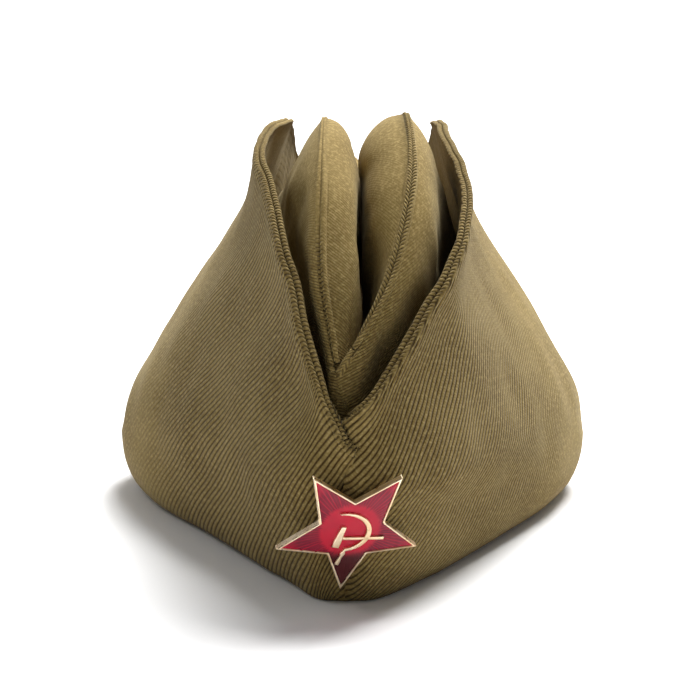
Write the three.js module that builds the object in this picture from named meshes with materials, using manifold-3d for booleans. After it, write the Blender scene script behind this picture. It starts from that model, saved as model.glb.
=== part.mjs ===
import * as THREE from 'three';
import { mergeVertices } from 'three/addons/utils/BufferGeometryUtils.js';
import Module from 'manifold-3d';

// Garrison cap of twill cloth, opened as if just taken off and standing on its folded lower edge.
// Millimetres, +Z up, front seam towards -Y. Left and right are as seen from the front, left at -X.
// Every wall is a hollow cloth shell.

// Plan and height of the turned-up flaps. The hip is the widest line of the folded lower edge.
const HALF_LENGTH = 132;
const HALF_WIDTH = 73;
const HIP_HEIGHT = 18;
const FOLD_INSET = 10;
const FLAP_HEIGHT = 115;
const FLAP_BELLY = 4;
const FLAP_FLARE = 2;
const MOUTH_HALF_WIDTH = 32;

// Crown: two puffed lobes whose ridges carry the top seams, with a tuck folded down between them.
const CROWN_HEIGHT = 118;
const RIDGE_REACH = 16;
const CROWN_INSET = 4;
const SHOULDER_OUT = 7;
const SHOULDER_DROP = 9;
const LOBE_GAP = 4.5;

// Cloth and clearances.
const FLAP_CLOTH = 2.4;
const CROWN_CLOTH = 1.6;
const CLEARANCE = 0.4;
const HEM_ROOM = 1.6;
const SEAM_GAP = 0.3;
const FOLD_CORNER = 2.9;
const UPTURN = 16;

// Enamelled star badge on the front seam, one point down, with a raised hammer and sickle.
const STAR_RADIUS = 18;
const STAR_WAIST = 8.2;
const PLATE_THICKNESS = 1.0;
const RIM_WIDTH = 1.0;
const RIM_PROUD = 0.2;
const ENAMEL_THICKNESS = 0.8;
const BADGE_HEIGHT = 21;
const BADGE_ASIDE = 1.6;
const BADGE_STAND_OFF = 1.7;
const BADGE_TILT = 22.7;
const BADGE_TURN = 14;
const BADGE_ROLL = 2.8;
const SICKLE_HALF_WIDTH = 4.7;
const SICKLE_HALF_HEIGHT = 5.2;
const BLADE_WIDTH = 1.25;
const SICKLE_HANDLE_LENGTH = 4.8;
const SICKLE_HANDLE_WIDTH = 0.9;
const HAMMER_SHAFT_LENGTH = 9.8;
const HAMMER_SHAFT_WIDTH = 0.8;
const HAMMER_HEAD_LENGTH = 5.4;
const HAMMER_HEAD_WIDTH = 1.6;
const EMBLEM_ASIDE = 0.45;
const EMBLEM_DOWN = 0.6;
const EMBLEM_THICKNESS = 0.7;
const POST_RADIUS = 1.1;
const NUT_RADIUS = 2.6;
const NUT_THICKNESS = 1.2;
const NUT_ROOM = 1.2;

// Fineness of the mesh: columns along a half of the cap, rows up each wall.
const COLUMNS = 33;
const FLAP_ROWS = 9;
const CROWN_ROWS = 9;
const TUCK_ROWS = 16;
const TUCK_FROM = 2;

const table = (columns, rows) =>
  rows.map((row) => Object.fromEntries(columns.map((name, i) => [name, row[i]])));

// Flap and ridge of one side, one row per station from the front seam to the back seam.
// hipX is a share of HALF_WIDTH, hipY, edgeY and ridgeY of HALF_LENGTH, hipZ of HIP_HEIGHT, fold of
// FOLD_INSET, edgeX of MOUTH_HALF_WIDTH, edgeZ of FLAP_HEIGHT, ridgeX of RIDGE_REACH and ridgeZ of
// CROWN_HEIGHT. lean straightens the fold under the hip. slack scales the room between flap and
// crown and how far the lobe puffs out there.
const SIDE_COLUMNS = ['hipX', 'hipY', 'hipZ', 'fold', 'lean', 'edgeX', 'edgeY', 'edgeZ',
  'ridgeX', 'ridgeY', 'ridgeZ', 'slack'];

const RIGHT = table(SIDE_COLUMNS, [
  [0.00, -1.00, 1.70, 1.20, 0.7, 0.00, -1.02, 0.41, 0.00, -0.985, 0.49, 0.12],
  [0.14, -0.98, 1.50, 1.15, 0.6, 0.24, -1.00, 0.46, 0.26, -0.970, 0.57, 0.25],
  [0.29, -0.88, 1.30, 1.00, 0.4, 0.54, -0.94, 0.57, 0.68, -0.920, 0.68, 0.55],
  [0.46, -0.70, 1.10, 1.00, 0.1, 0.92, -0.80, 0.75, 1.00, -0.790, 0.86, 0.90],
  [0.66, -0.48, 1.00, 1.00, 0.0, 0.99, -0.58, 0.89, 0.95, -0.550, 0.99, 1.00],
  [0.88, -0.22, 1.00, 1.00, 0.0, 0.84, -0.29, 0.97, 0.78, -0.270, 0.93, 1.00],
  [0.98, 0.00, 1.00, 1.00, 0.0, 0.78, 0.00, 1.00, 0.66, 0.000, 0.87, 1.00],
  [0.88, 0.22, 1.00, 1.00, 0.0, 0.77, 0.29, 0.97, 0.62, 0.270, 0.87, 1.00],
  [0.65, 0.48, 1.00, 1.00, 0.0, 0.77, 0.58, 0.88, 0.60, 0.550, 0.87, 1.00],
  [0.46, 0.70, 1.10, 1.00, 0.1, 0.68, 0.80, 0.74, 0.58, 0.790, 0.80, 0.90],
  [0.29, 0.88, 1.30, 1.00, 0.4, 0.44, 0.94, 0.56, 0.46, 0.920, 0.66, 0.55],
  [0.14, 0.98, 1.50, 1.15, 0.6, 0.20, 1.00, 0.46, 0.20, 0.970, 0.56, 0.25],
  [0.00, 1.00, 1.70, 1.20, 0.7, 0.00, 1.02, 0.41, 0.00, 0.985, 0.49, 0.12],
]);

const LEFT = table(SIDE_COLUMNS, [
  [0.00, -1.00, 1.70, 1.20, 0.7, 0.00, -1.02, 0.41, 0.00, -0.985, 0.49, 0.12],
  [0.13, -0.98, 1.50, 1.15, 0.6, 0.20, -1.00, 0.47, 0.22, -0.970, 0.55, 0.25],
  [0.25, -0.88, 1.30, 1.00, 0.4, 0.34, -0.95, 0.59, 0.38, -0.920, 0.68, 0.50],
  [0.41, -0.70, 1.10, 1.00, 0.1, 0.54, -0.81, 0.77, 0.40, -0.790, 0.86, 0.70],
  [0.62, -0.48, 1.00, 1.00, 0.0, 0.77, -0.58, 0.91, 0.42, -0.550, 0.98, 1.00],
  [0.89, -0.22, 1.00, 1.00, 0.0, 0.77, -0.29, 0.97, 0.45, -0.270, 0.93, 1.00],
  [1.00, 0.00, 1.00, 1.00, 0.0, 0.69, 0.00, 1.00, 0.48, 0.000, 0.87, 1.00],
  [0.90, 0.22, 1.00, 1.00, 0.0, 0.69, 0.29, 0.98, 0.50, 0.270, 0.87, 1.00],
  [0.65, 0.48, 1.00, 1.00, 0.0, 0.73, 0.58, 0.88, 0.50, 0.550, 0.87, 1.00],
  [0.44, 0.70, 1.10, 1.00, 0.1, 0.64, 0.80, 0.74, 0.50, 0.790, 0.80, 0.90],
  [0.27, 0.88, 1.30, 1.00, 0.4, 0.40, 0.94, 0.56, 0.42, 0.920, 0.66, 0.55],
  [0.14, 0.98, 1.50, 1.15, 0.6, 0.20, 1.00, 0.46, 0.20, 0.970, 0.56, 0.25],
  [0.00, 1.00, 1.70, 1.20, 0.7, 0.00, 1.02, 0.41, 0.00, 0.985, 0.49, 0.12],
]);

// Floor of the tuck, one row per station: shares of RIDGE_REACH and CROWN_HEIGHT. puff says how
// full the lobes roll over into the tuck there, from a plain V at 0.
const VALLEY = table(['x', 'y', 'z', 'puff'], [
  [0.00, -0.985, 0.48, 0.0],
  [0.10, -0.970, 0.50, 0.0],
  [0.36, -0.920, 0.49, 0.3],
  [0.32, -0.790, 0.47, 0.8],
  [0.22, -0.550, 0.44, 1.0],
  [0.15, -0.270, 0.42, 1.0],
  [0.08, 0.000, 0.42, 1.0],
  [0.05, 0.270, 0.42, 1.0],
  [0.05, 0.550, 0.44, 1.0],
  [0.05, 0.790, 0.47, 0.8],
  [0.02, 0.920, 0.49, 0.3],
  [0.00, 0.970, 0.50, 0.0],
  [0.00, 0.985, 0.48, 0.0],
]);

// Section across the tuck, from the left ridge over the floor to the right ridge:
// across is a share of the distance between the ridges, down of the depth to the floor.
const TUCK_SECTION = table(['across', 'down'], [
  [-0.50, 0.00],
  [-0.33, 0.03],
  [-0.16, 0.10],
  [-0.07, 0.21],
  [-0.06, 0.48],
  [-0.08, 0.78],
  [0.00, 1.00],
  [0.08, 0.78],
  [0.06, 0.48],
  [0.07, 0.21],
  [0.16, 0.10],
  [0.33, 0.03],
  [0.50, 0.00],
]);

const cloth = new THREE.MeshStandardMaterial({ color: 0x6d6340, roughness: 0.95, metalness: 0 });
const gilt = new THREE.MeshStandardMaterial({ color: 0xe3bd7c, roughness: 0.28, metalness: 1 });
const enamel = new THREE.MeshStandardMaterial({ color: 0xa01226, roughness: 0.12, metalness: 0 });

const vec = (x, y, z) => new THREE.Vector3(x, y, z);
const curveThrough = (points) => new THREE.CatmullRomCurve3(points, false, 'centripetal');

// A point at share s of a run of stations, smoothly between the rows.
const runOf = (points) => {
  const curve = curveThrough(points);
  return (s) => curve.getPoint(s);
};

const fractions = (count) => Array.from({ length: count + 1 }, (_, i) => i / count);

// The lines that one side is lofted between. side is +1 or -1.
function sideLines(rows, side) {
  const line = (fn) => runOf(rows.map(fn));
  return {
    side,
    hip: line((r) => vec(side * r.hipX * HALF_WIDTH, r.hipY * HALF_LENGTH, r.hipZ * HIP_HEIGHT)),
    edge: line((r) => vec(
      side * r.edgeX * MOUTH_HALF_WIDTH,
      r.edgeY * HALF_LENGTH,
      r.edgeZ * FLAP_HEIGHT,
    )),
    ridge: line((r) => vec(
      side * r.ridgeX * RIDGE_REACH,
      r.ridgeY * (HALF_LENGTH - CROWN_INSET),
      r.ridgeZ * CROWN_HEIGHT,
    )),
    ease: line((r) => vec(r.slack, r.fold, r.lean)),
  };
}

// Outward direction at a hip point: sideways along the body, fanning round at the two ends.
function outwardAt(hip) {
  const fan = 0.74 * HALF_LENGTH;
  return vec(hip.x, hip.y - THREE.MathUtils.clamp(hip.y, -fan, fan), 0).normalize();
}

const shifted = (p, direction, amount) => p.clone().addScaledVector(direction, amount);
const atHeight = (p, z) => vec(p.x, p.y, z);

// Point under the fold where the cloth meets the surface, at station s.
function contactAt(lines, s) {
  const hip = lines.hip(s);
  return atHeight(shifted(hip, outwardAt(hip), -FOLD_INSET * lines.ease(s).y), 0);
}

// Hip, foot and outward direction at station s. along turns a distance square to the foot line
// into one along the outward direction.
function footingAt(lines, s) {
  const hip = lines.hip(s);
  const ease = lines.ease(s);
  const out = outwardAt(hip);
  const step = 0.004;
  const tangent = contactAt(lines, Math.min(s + step, 1)).sub(contactAt(lines, Math.max(s - step, 0)));
  const square = vec(tangent.y, -tangent.x, 0).normalize();
  return {
    hip,
    out,
    contact: contactAt(lines, s),
    along: 1 / Math.max(Math.abs(square.dot(out)), 0.6),
    inset: FOLD_INSET * ease.y,
    lean: ease.z,
    slack: ease.x,
  };
}

// The leaning wall of a flap over the hip, with its belly low down and steeper towards its edge.
function flapWall(lines, s) {
  const { hip, out, slack } = footingAt(lines, s);
  const edge = lines.edge(s);
  return curveThrough([
    hip,
    shifted(hip.clone().lerp(edge, 0.16), out, FLAP_BELLY * slack),
    shifted(hip.clone().lerp(edge, 0.4), out, 0.5 * FLAP_BELLY * slack),
    shifted(hip.clone().lerp(edge, 0.75), out, -FLAP_FLARE * slack),
    edge,
  ]);
}

// Outer skin of a flap at station s: up-turned hem inside, corner, flat foot, fold, hip, wall, edge.
function flapSection(lines, s) {
  const { hip, out, inset, lean, contact, along } = footingAt(lines, s);
  const channel = 2 * FLAP_CLOTH + CLEARANCE + CROWN_CLOTH + HEM_ROOM;
  const foot = (inward, z) => atHeight(shifted(contact, out, -inward * along), z);
  const hem = [
    foot(channel, UPTURN),
    foot(channel, (UPTURN + FOLD_CORNER) / 2),
    foot(channel, FOLD_CORNER),
  ];
  const corner = [30, 60, 90].map((degrees) => {
    const a = THREE.MathUtils.degToRad(degrees);
    return foot(channel - FOLD_CORNER * (1 - Math.cos(a)), FOLD_CORNER * (1 - Math.sin(a)));
  });
  const fold = [25, 50].map((degrees) => {
    const a = THREE.MathUtils.degToRad(degrees);
    const rise = 1 - Math.cos(a);
    const reach = THREE.MathUtils.lerp(Math.sin(a), rise, lean);
    return atHeight(shifted(contact, out, inset * reach), hip.z * rise);
  });
  const wall = flapWall(lines, s);
  return [...hem, ...corner, contact, ...fold, ...fractions(FLAP_ROWS).map((t) => wall.getPoint(t))];
}

// Outward normal of the flap's wall at station s and at a share of the way from hip to edge.
function wallNormal(lines, s, share) {
  const step = 0.004;
  const [s0, s1] = [Math.max(s - step, 0), Math.min(s + step, 1)];
  const [t0, t1] = [Math.max(share - step, 0), Math.min(share + step, 1)];
  const along = flapWall(lines, s1).getPoint(share).sub(flapWall(lines, s0).getPoint(share));
  const here = flapWall(lines, s);
  const up = here.getPoint(t1).sub(here.getPoint(t0));
  return along.cross(up).multiplyScalar(lines.side).normalize();
}

// Outer skin of a crown side panel at station s, from its foot in the flap's channel to the ridge.
function panelSection(lines, s) {
  const { hip, out, slack, contact, along } = footingAt(lines, s);
  const edge = lines.edge(s);
  const ridge = lines.ridge(s);
  const footing = FLAP_CLOTH + CLEARANCE;
  const shoulder = ridge.z - SHOULDER_DROP * slack;
  const upTo = THREE.MathUtils.clamp((shoulder - hip.z) / (edge.z - hip.z), 0.2, 1);
  const inside = (share, gap) => shifted(
    flapWall(lines, s).getPoint(share * upTo),
    wallNormal(lines, s, share * upTo),
    -(FLAP_CLOTH + 2 * CLEARANCE + gap),
  );
  const foot = (z) => atHeight(shifted(contact, out, -footing * along), z);
  const curve = curveThrough([
    foot(0.7 * hip.z),
    inside(0.25, 0.5 * LOBE_GAP * slack),
    inside(0.6, LOBE_GAP * slack),
    shifted(ridge, out, SHOULDER_OUT * slack).add(vec(0, 0, -SHOULDER_DROP * slack)),
    ridge,
  ]);
  return [foot(footing), ...fractions(CROWN_ROWS).map((t) => curve.getPoint(t))];
}

// Skin of the tuck that shows, across from the left ridge to the right one.
function tuckSection(left, right, valley, s) {
  const from = left.ridge(s);
  const to = right.ridge(s);
  const middle = from.clone().lerp(to, 0.5);
  const across = to.clone().sub(from);
  const down = valley.floor(s).sub(middle);
  const puff = valley.puff(s).x;
  const points = TUCK_SECTION.map((r) => {
    const plain = 0.5 * Math.sign(r.across) * (1 - r.down);
    const share = THREE.MathUtils.lerp(plain, r.across, puff);
    return middle.clone().addScaledVector(across, share).addScaledVector(down, r.down);
  });
  const curve = curveThrough(points);
  return fractions(TUCK_ROWS).map((t) => curve.getPoint(t));
}

// Unit normals of a grid of points, by central differences.
function gridNormals(grid) {
  const last = grid.length - 1;
  return grid.map((column, i) => column.map((_, j) => {
    const along = grid[Math.min(i + 1, last)][j].clone().sub(grid[Math.max(i - 1, 0)][j]);
    const up = column[Math.min(j + 1, column.length - 1)].clone().sub(column[Math.max(j - 1, 0)]);
    return along.cross(up).normalize();
  }));
}

// Normals of a half that meets its mirror image at the front and back seams, mitred there.
function seamedNormals(grid) {
  const normals = gridNormals(grid);
  [normals[0], normals[grid.length - 1]].forEach((column) => column.forEach((n) => {
    const upright = Math.max(n.y * n.y + n.z * n.z, 0.5);
    n.set(0, n.y / upright, n.z / upright);
  }));
  return normals;
}

// The same grid moved by amount along its normals.
function offsetGrid(grid, normals, amount) {
  return grid.map((column, i) => column.map((p, j) => shifted(p, normals[i][j], amount)));
}

// Keeps a grid on its own side of the middle plane, so that the two halves meet at the seams.
function keepSide(grid, side) {
  const least = SEAM_GAP / 2;
  return grid.map((column) => column.map((p) => vec(side * Math.max(side * p.x, least), p.y, p.z)));
}

// Signed volume of an indexed mesh.
function volumeOf(points, index) {
  let volume = 0;
  for (let i = 0; i < index.length; i += 3) {
    const [a, b, c] = [points[index[i]], points[index[i + 1]], points[index[i + 2]]];
    volume += a.dot(b.clone().cross(c)) / 6;
  }
  return volume;
}

function meshFrom(points, index) {
  const facing = volumeOf(points, index) > 0 ? index
    : index.map((_, i) => index[i - (i % 3) + (2 - (i % 3))]);
  const geometry = new THREE.BufferGeometry();
  geometry.setAttribute('position', new THREE.Float32BufferAttribute(points.flatMap((p) => p.toArray()), 3));
  geometry.setIndex(facing);
  return geometry;
}

// Closed cloth wall between two skins given as grids of the same size.
function wallBetween(outside, inside) {
  const columns = outside.length;
  const rows = outside[0].length;
  const points = [...outside.flat(), ...inside.flat()];
  const outer = (i, j) => i * rows + j;
  const inner = (i, j) => columns * rows + i * rows + j;
  const index = [];
  const quad = (a, b, c, d) => index.push(a, b, c, a, c, d);
  for (let i = 0; i < columns - 1; i += 1) {
    for (let j = 0; j < rows - 1; j += 1) {
      quad(outer(i, j), outer(i + 1, j), outer(i + 1, j + 1), outer(i, j + 1));
      quad(inner(i, j), inner(i, j + 1), inner(i + 1, j + 1), inner(i + 1, j));
    }
    quad(outer(i, 0), inner(i, 0), inner(i + 1, 0), outer(i + 1, 0));
    quad(outer(i, rows - 1), outer(i + 1, rows - 1), inner(i + 1, rows - 1), inner(i, rows - 1));
  }
  for (let j = 0; j < rows - 1; j += 1) {
    quad(outer(0, j), outer(0, j + 1), inner(0, j + 1), inner(0, j));
    const e = columns - 1;
    quad(outer(e, j), inner(e, j), inner(e, j + 1), outer(e, j + 1));
  }
  return meshFrom(points, index);
}

const stations = fractions(COLUMNS);

function flapHalf(lines) {
  const skin = stations.map((s) => flapSection(lines, s));
  const lining = offsetGrid(skin, seamedNormals(skin), -lines.side * FLAP_CLOTH);
  return wallBetween(keepSide(skin, lines.side), keepSide(lining, lines.side));
}

// Booleans on closed meshes.
const wasm = await Module();
wasm.setup();

function solidOf(geometry) {
  const bare = geometry.clone();
  bare.deleteAttribute('normal');
  bare.deleteAttribute('uv');
  const merged = mergeVertices(bare, 1e-4);
  const flat = merged.index ? merged : merged.toNonIndexed();
  return new wasm.Manifold(new wasm.Mesh({
    numProp: 3,
    vertProperties: new Float32Array(flat.attributes.position.array),
    triVerts: new Uint32Array(flat.index.array),
  }));
}

function geometryOf(solid) {
  const mesh = solid.getMesh();
  const geometry = new THREE.BufferGeometry();
  geometry.setAttribute('position', new THREE.BufferAttribute(new Float32Array(mesh.vertProperties), 3));
  geometry.setIndex(Array.from(mesh.triVerts));
  return geometry;
}

const joined = (...geometries) =>
  geometryOf(geometries.map(solidOf).reduce((all, next) => all.add(next)));
const cutFrom = (geometry, cutter) => geometryOf(solidOf(geometry).subtract(solidOf(cutter)));

// The largest body of a mesh, without the slivers that a cut leaves beside it.
function largestBody(geometry) {
  const bodies = solidOf(geometry).decompose();
  return geometryOf(bodies.reduce((best, next) => (next.volume() > best.volume() ? next : best)));
}

// One side panel of the crown, with the room that it and its seam take up.
function crownPanel(lines) {
  const skin = stations.map((s) => panelSection(lines, s));
  const outward = (grid) => seamedNormals(grid).map((column) => column.map((n) => n.multiplyScalar(lines.side)));
  const normals = outward(skin);
  const wall = (grid, out, thickness) => wallBetween(
    keepSide(offsetGrid(grid, normals, out), lines.side),
    keepSide(offsetGrid(grid, normals, out - thickness), lines.side),
  );
  const panel = wall(skin, 0, CROWN_CLOTH);
  normals.forEach((column) => column.push(column[column.length - 1]));
  const raised = skin.map((column) => {
    const [below, top] = column.slice(-2);
    return [...column, shifted(top, top.clone().sub(below).normalize(), 2 * SEAM_GAP)];
  });
  return { panel, room: wall(raised, 2 * SEAM_GAP, CROWN_CLOTH + 3 * SEAM_GAP) };
}

// The tucked-in top between the two ridges, trimmed where it meets the side panels.
function crownTuck(left, right, valley, rooms) {
  const tucked = stations.slice(TUCK_FROM, COLUMNS + 1 - TUCK_FROM);
  const tuck = tucked.map((s) => tuckSection(left, right, valley, s));
  const whole = wallBetween(tuck, offsetGrid(tuck, gridNormals(tuck), CROWN_CLOTH));
  return largestBody(rooms.reduce((cut, room) => cutFrom(cut, room), whole));
}

// Star outline with one point down, in the plane of the badge.
function starOutline() {
  return Array.from({ length: 10 }, (_, i) => {
    const angle = -Math.PI / 2 + (i * Math.PI) / 5;
    const radius = i % 2 === 0 ? STAR_RADIUS : STAR_WAIST;
    return new THREE.Vector2(radius * Math.cos(angle), radius * Math.sin(angle));
  });
}

// A counter-clockwise outline moved inwards by a width.
function insetOutline(outline, width) {
  const count = outline.length;
  return outline.map((p, i) => {
    const before = p.clone().sub(outline[(i + count - 1) % count]).normalize();
    const after = outline[(i + 1) % count].clone().sub(p).normalize();
    const inBefore = new THREE.Vector2(-before.y, before.x);
    const inAfter = new THREE.Vector2(-after.y, after.x);
    const mid = inBefore.clone().add(inAfter);
    return p.clone().addScaledVector(mid, width / (1 + inBefore.dot(inAfter)));
  });
}

// Flat plate of an outline, from depth to depth + thickness out of the badge's face.
function plate(shape, depth, thickness) {
  const geometry = new THREE.ExtrudeGeometry(shape, { depth: thickness, bevelEnabled: false });
  geometry.translate(0, 0, depth);
  geometry.rotateX(Math.PI / 2);
  return geometry;
}

function starBody() {
  const outline = starOutline();
  const rim = new THREE.Shape(outline);
  rim.holes.push(new THREE.Path(insetOutline(outline, RIM_WIDTH)));
  const rise = SEAM_GAP + ENAMEL_THICKNESS + RIM_PROUD;
  return joined(
    plate(new THREE.Shape(outline), 0, PLATE_THICKNESS),
    plate(rim, PLATE_THICKNESS / 2, PLATE_THICKNESS / 2 + rise),
  );
}

function enamelInlay() {
  const shape = new THREE.Shape(insetOutline(starOutline(), RIM_WIDTH + SEAM_GAP));
  return plate(shape, PLATE_THICKNESS + SEAM_GAP, ENAMEL_THICKNESS);
}

// Flat bar from a start point, of a length, width and direction in degrees.
function bar(x, y, length, width, degrees) {
  const turn = THREE.MathUtils.degToRad(degrees);
  const corners = [[0, -0.5], [1, -0.5], [1, 0.5], [0, 0.5]];
  return new THREE.Shape(corners.map(([u, v]) =>
    new THREE.Vector2(u * length, v * width)
      .rotateAround(new THREE.Vector2(), turn)
      .add(new THREE.Vector2(x, y))));
}

// Sickle blade as a tapering arc with its handle, crossed by the hammer.
function emblem() {
  const base = PLATE_THICKNESS + SEAM_GAP + ENAMEL_THICKNESS + SEAM_GAP;
  const at = (angle, inward) => {
    const a = THREE.MathUtils.degToRad(angle);
    return new THREE.Vector2(
      EMBLEM_ASIDE + (SICKLE_HALF_WIDTH - inward) * Math.cos(a),
      -EMBLEM_DOWN + (SICKLE_HALF_HEIGHT - inward) * Math.sin(a),
    );
  };
  const [bladeTip, bladeEnd] = [128, -98];
  const sweep = fractions(20).map((t) => ({
    angle: THREE.MathUtils.lerp(bladeTip, bladeEnd, t),
    width: BLADE_WIDTH * Math.sin(Math.PI * (0.1 + 0.7 * t)),
  }));
  const blade = new THREE.Shape([
    ...sweep.map((q) => at(q.angle, 0)),
    ...[...sweep].reverse().map((q) => at(q.angle, q.width)),
  ]);
  const heel = at(bladeEnd, BLADE_WIDTH / 3);
  const handle = bar(heel.x, heel.y, SICKLE_HANDLE_LENGTH, SICKLE_HANDLE_WIDTH, 257);
  const eye = at(197, 0.42 * SICKLE_HALF_WIDTH);
  const shaft = bar(eye.x, eye.y, HAMMER_SHAFT_LENGTH, HAMMER_SHAFT_WIDTH, 0);
  const lean = THREE.MathUtils.degToRad(73);
  const head = bar(
    eye.x - (HAMMER_HEAD_LENGTH / 2) * Math.cos(lean),
    eye.y - (HAMMER_HEAD_LENGTH / 2) * Math.sin(lean),
    HAMMER_HEAD_LENGTH,
    HAMMER_HEAD_WIDTH,
    73,
  );
  return joined(...[blade, handle, shaft, head].map((shape) => plate(shape, base, EMBLEM_THICKNESS)));
}

// Height of the cloth's outer skin along the front seam.
function seamAt(z) {
  const line = flapSection(rightLines, 0).filter((p) => p.y <= contactAt(rightLines, 0).y);
  const next = line.findIndex((p) => p.z >= z);
  const [a, b] = [line[next - 1], line[next]];
  return a.clone().lerp(b, (z - a.z) / (b.z - a.z));
}

// Post and nut that hold the badge, on the badge's own axis behind the plate.
const postReach = BADGE_STAND_OFF + FLAP_CLOTH + NUT_ROOM;

function postAndNut() {
  const nutBack = postReach + NUT_THICKNESS;
  const profile = [
    [0, -SEAM_GAP],
    [POST_RADIUS, -SEAM_GAP],
    [POST_RADIUS, -postReach],
    [NUT_RADIUS, -postReach],
    [NUT_RADIUS, -nutBack],
    [0, -nutBack],
  ].reverse().map(([r, h]) => new THREE.Vector2(r, h));
  return new THREE.LatheGeometry(profile, 24).rotateX(Math.PI);
}

function postHole() {
  const length = postReach + NUT_THICKNESS;
  const geometry = new THREE.CylinderGeometry(POST_RADIUS + CLEARANCE, POST_RADIUS + CLEARANCE, length, 24);
  return geometry.translate(0, length / 2, 0);
}

function named(name, geometry, material) {
  geometry.computeVertexNormals();
  const mesh = new THREE.Mesh(geometry, material);
  mesh.name = name;
  return mesh;
}

const leftLines = sideLines(LEFT, -1);
const rightLines = sideLines(RIGHT, 1);
const valleyLines = {
  floor: runOf(VALLEY.map((r) => vec(
    r.x * RIDGE_REACH,
    r.y * (HALF_LENGTH - CROWN_INSET),
    r.z * CROWN_HEIGHT,
  ))),
  puff: runOf(VALLEY.map((r) => vec(r.puff, 0, 0))),
};

const badge = new THREE.Group();
badge.rotation.order = 'ZXY';
badge.rotation.set(
  THREE.MathUtils.degToRad(BADGE_TILT),
  THREE.MathUtils.degToRad(BADGE_ROLL),
  THREE.MathUtils.degToRad(BADGE_TURN),
);
badge.position.set(BADGE_ASIDE, seamAt(BADGE_HEIGHT).y - BADGE_STAND_OFF, BADGE_HEIGHT);
badge.updateMatrix();
badge.add(named('badge_star', starBody(), gilt));
badge.add(named('badge_enamel', enamelInlay(), enamel));
badge.add(named('badge_emblem', emblem(), gilt));
badge.add(named('badge_post', postAndNut(), gilt));
const hole = postHole().applyMatrix4(badge.matrix);

const cap = new THREE.Group();
cap.add(named('flap_left', cutFrom(flapHalf(leftLines), hole), cloth));
cap.add(named('flap_right', cutFrom(flapHalf(rightLines), hole), cloth));
const [left, right] = [leftLines, rightLines].map(crownPanel);
const rooms = [left.room, right.room, left.panel, right.panel];
cap.add(named('crown_left', left.panel, cloth));
cap.add(named('crown_right', right.panel, cloth));
cap.add(named('crown_tuck', crownTuck(leftLines, rightLines, valleyLines, rooms), cloth));
cap.add(badge);

// Origin under the middle of the cap, on the surface that it stands on.
const bounds = new THREE.Box3().setFromObject(cap);
const centre = bounds.getCenter(vec(0, 0, 0));
cap.position.set(-centre.x, -centre.y, -bounds.min.z);

export default cap;
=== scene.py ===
"""Garrison cap of ribbed cotton twill with an enamelled star badge.

The cap stands opened on its lower fold, front seam towards -Y. Shapes are worked out in millimetres
from a table of stations and turned into metres where each mesh is made.
"""

import logging
import math
from dataclasses import dataclass, field
from enum import Enum

import bpy
import numpy as np
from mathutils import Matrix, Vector


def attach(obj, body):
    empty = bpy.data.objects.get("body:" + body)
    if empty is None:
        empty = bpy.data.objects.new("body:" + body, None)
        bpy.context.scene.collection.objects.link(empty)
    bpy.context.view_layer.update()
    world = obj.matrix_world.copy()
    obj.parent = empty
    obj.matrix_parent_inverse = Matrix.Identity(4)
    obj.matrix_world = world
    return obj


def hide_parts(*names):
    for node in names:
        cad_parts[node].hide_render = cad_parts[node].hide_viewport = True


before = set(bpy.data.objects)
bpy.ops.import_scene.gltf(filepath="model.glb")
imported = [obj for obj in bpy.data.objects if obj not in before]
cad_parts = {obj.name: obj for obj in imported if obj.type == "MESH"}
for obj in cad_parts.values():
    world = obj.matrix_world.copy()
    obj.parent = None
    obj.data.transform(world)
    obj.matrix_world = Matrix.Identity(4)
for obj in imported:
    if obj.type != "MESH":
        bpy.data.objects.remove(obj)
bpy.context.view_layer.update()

LOG = logging.getLogger("garrison_cap")
MM = 0.001
CAD_SHIFT = np.array([0.730, 3.898, 0.0])


class Side(Enum):
    """Which half of the cap a piece belongs to, as seen from the front, by its sign along X."""

    RIGHT = 1
    LEFT = -1


class Wale(Enum):
    """Direction of the twill's ribs on each kind of panel, in degrees from its level line."""

    FLAP_LEFT = 45.0
    FLAP_RIGHT = 68.0
    CROWN_LEFT = 60.0
    CROWN_RIGHT = 150.0
    TUCK_LEFT = 52.0
    TUCK_RIGHT = 40.0


# Columns of the station tables, one row per station from the front seam to the back seam
COLUMNS = ("hip_x", "hip_y", "hip_z", "fold", "lean", "edge_x", "edge_y", "edge_z",
           "ridge_x", "ridge_y", "ridge_z", "slack")

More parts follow.
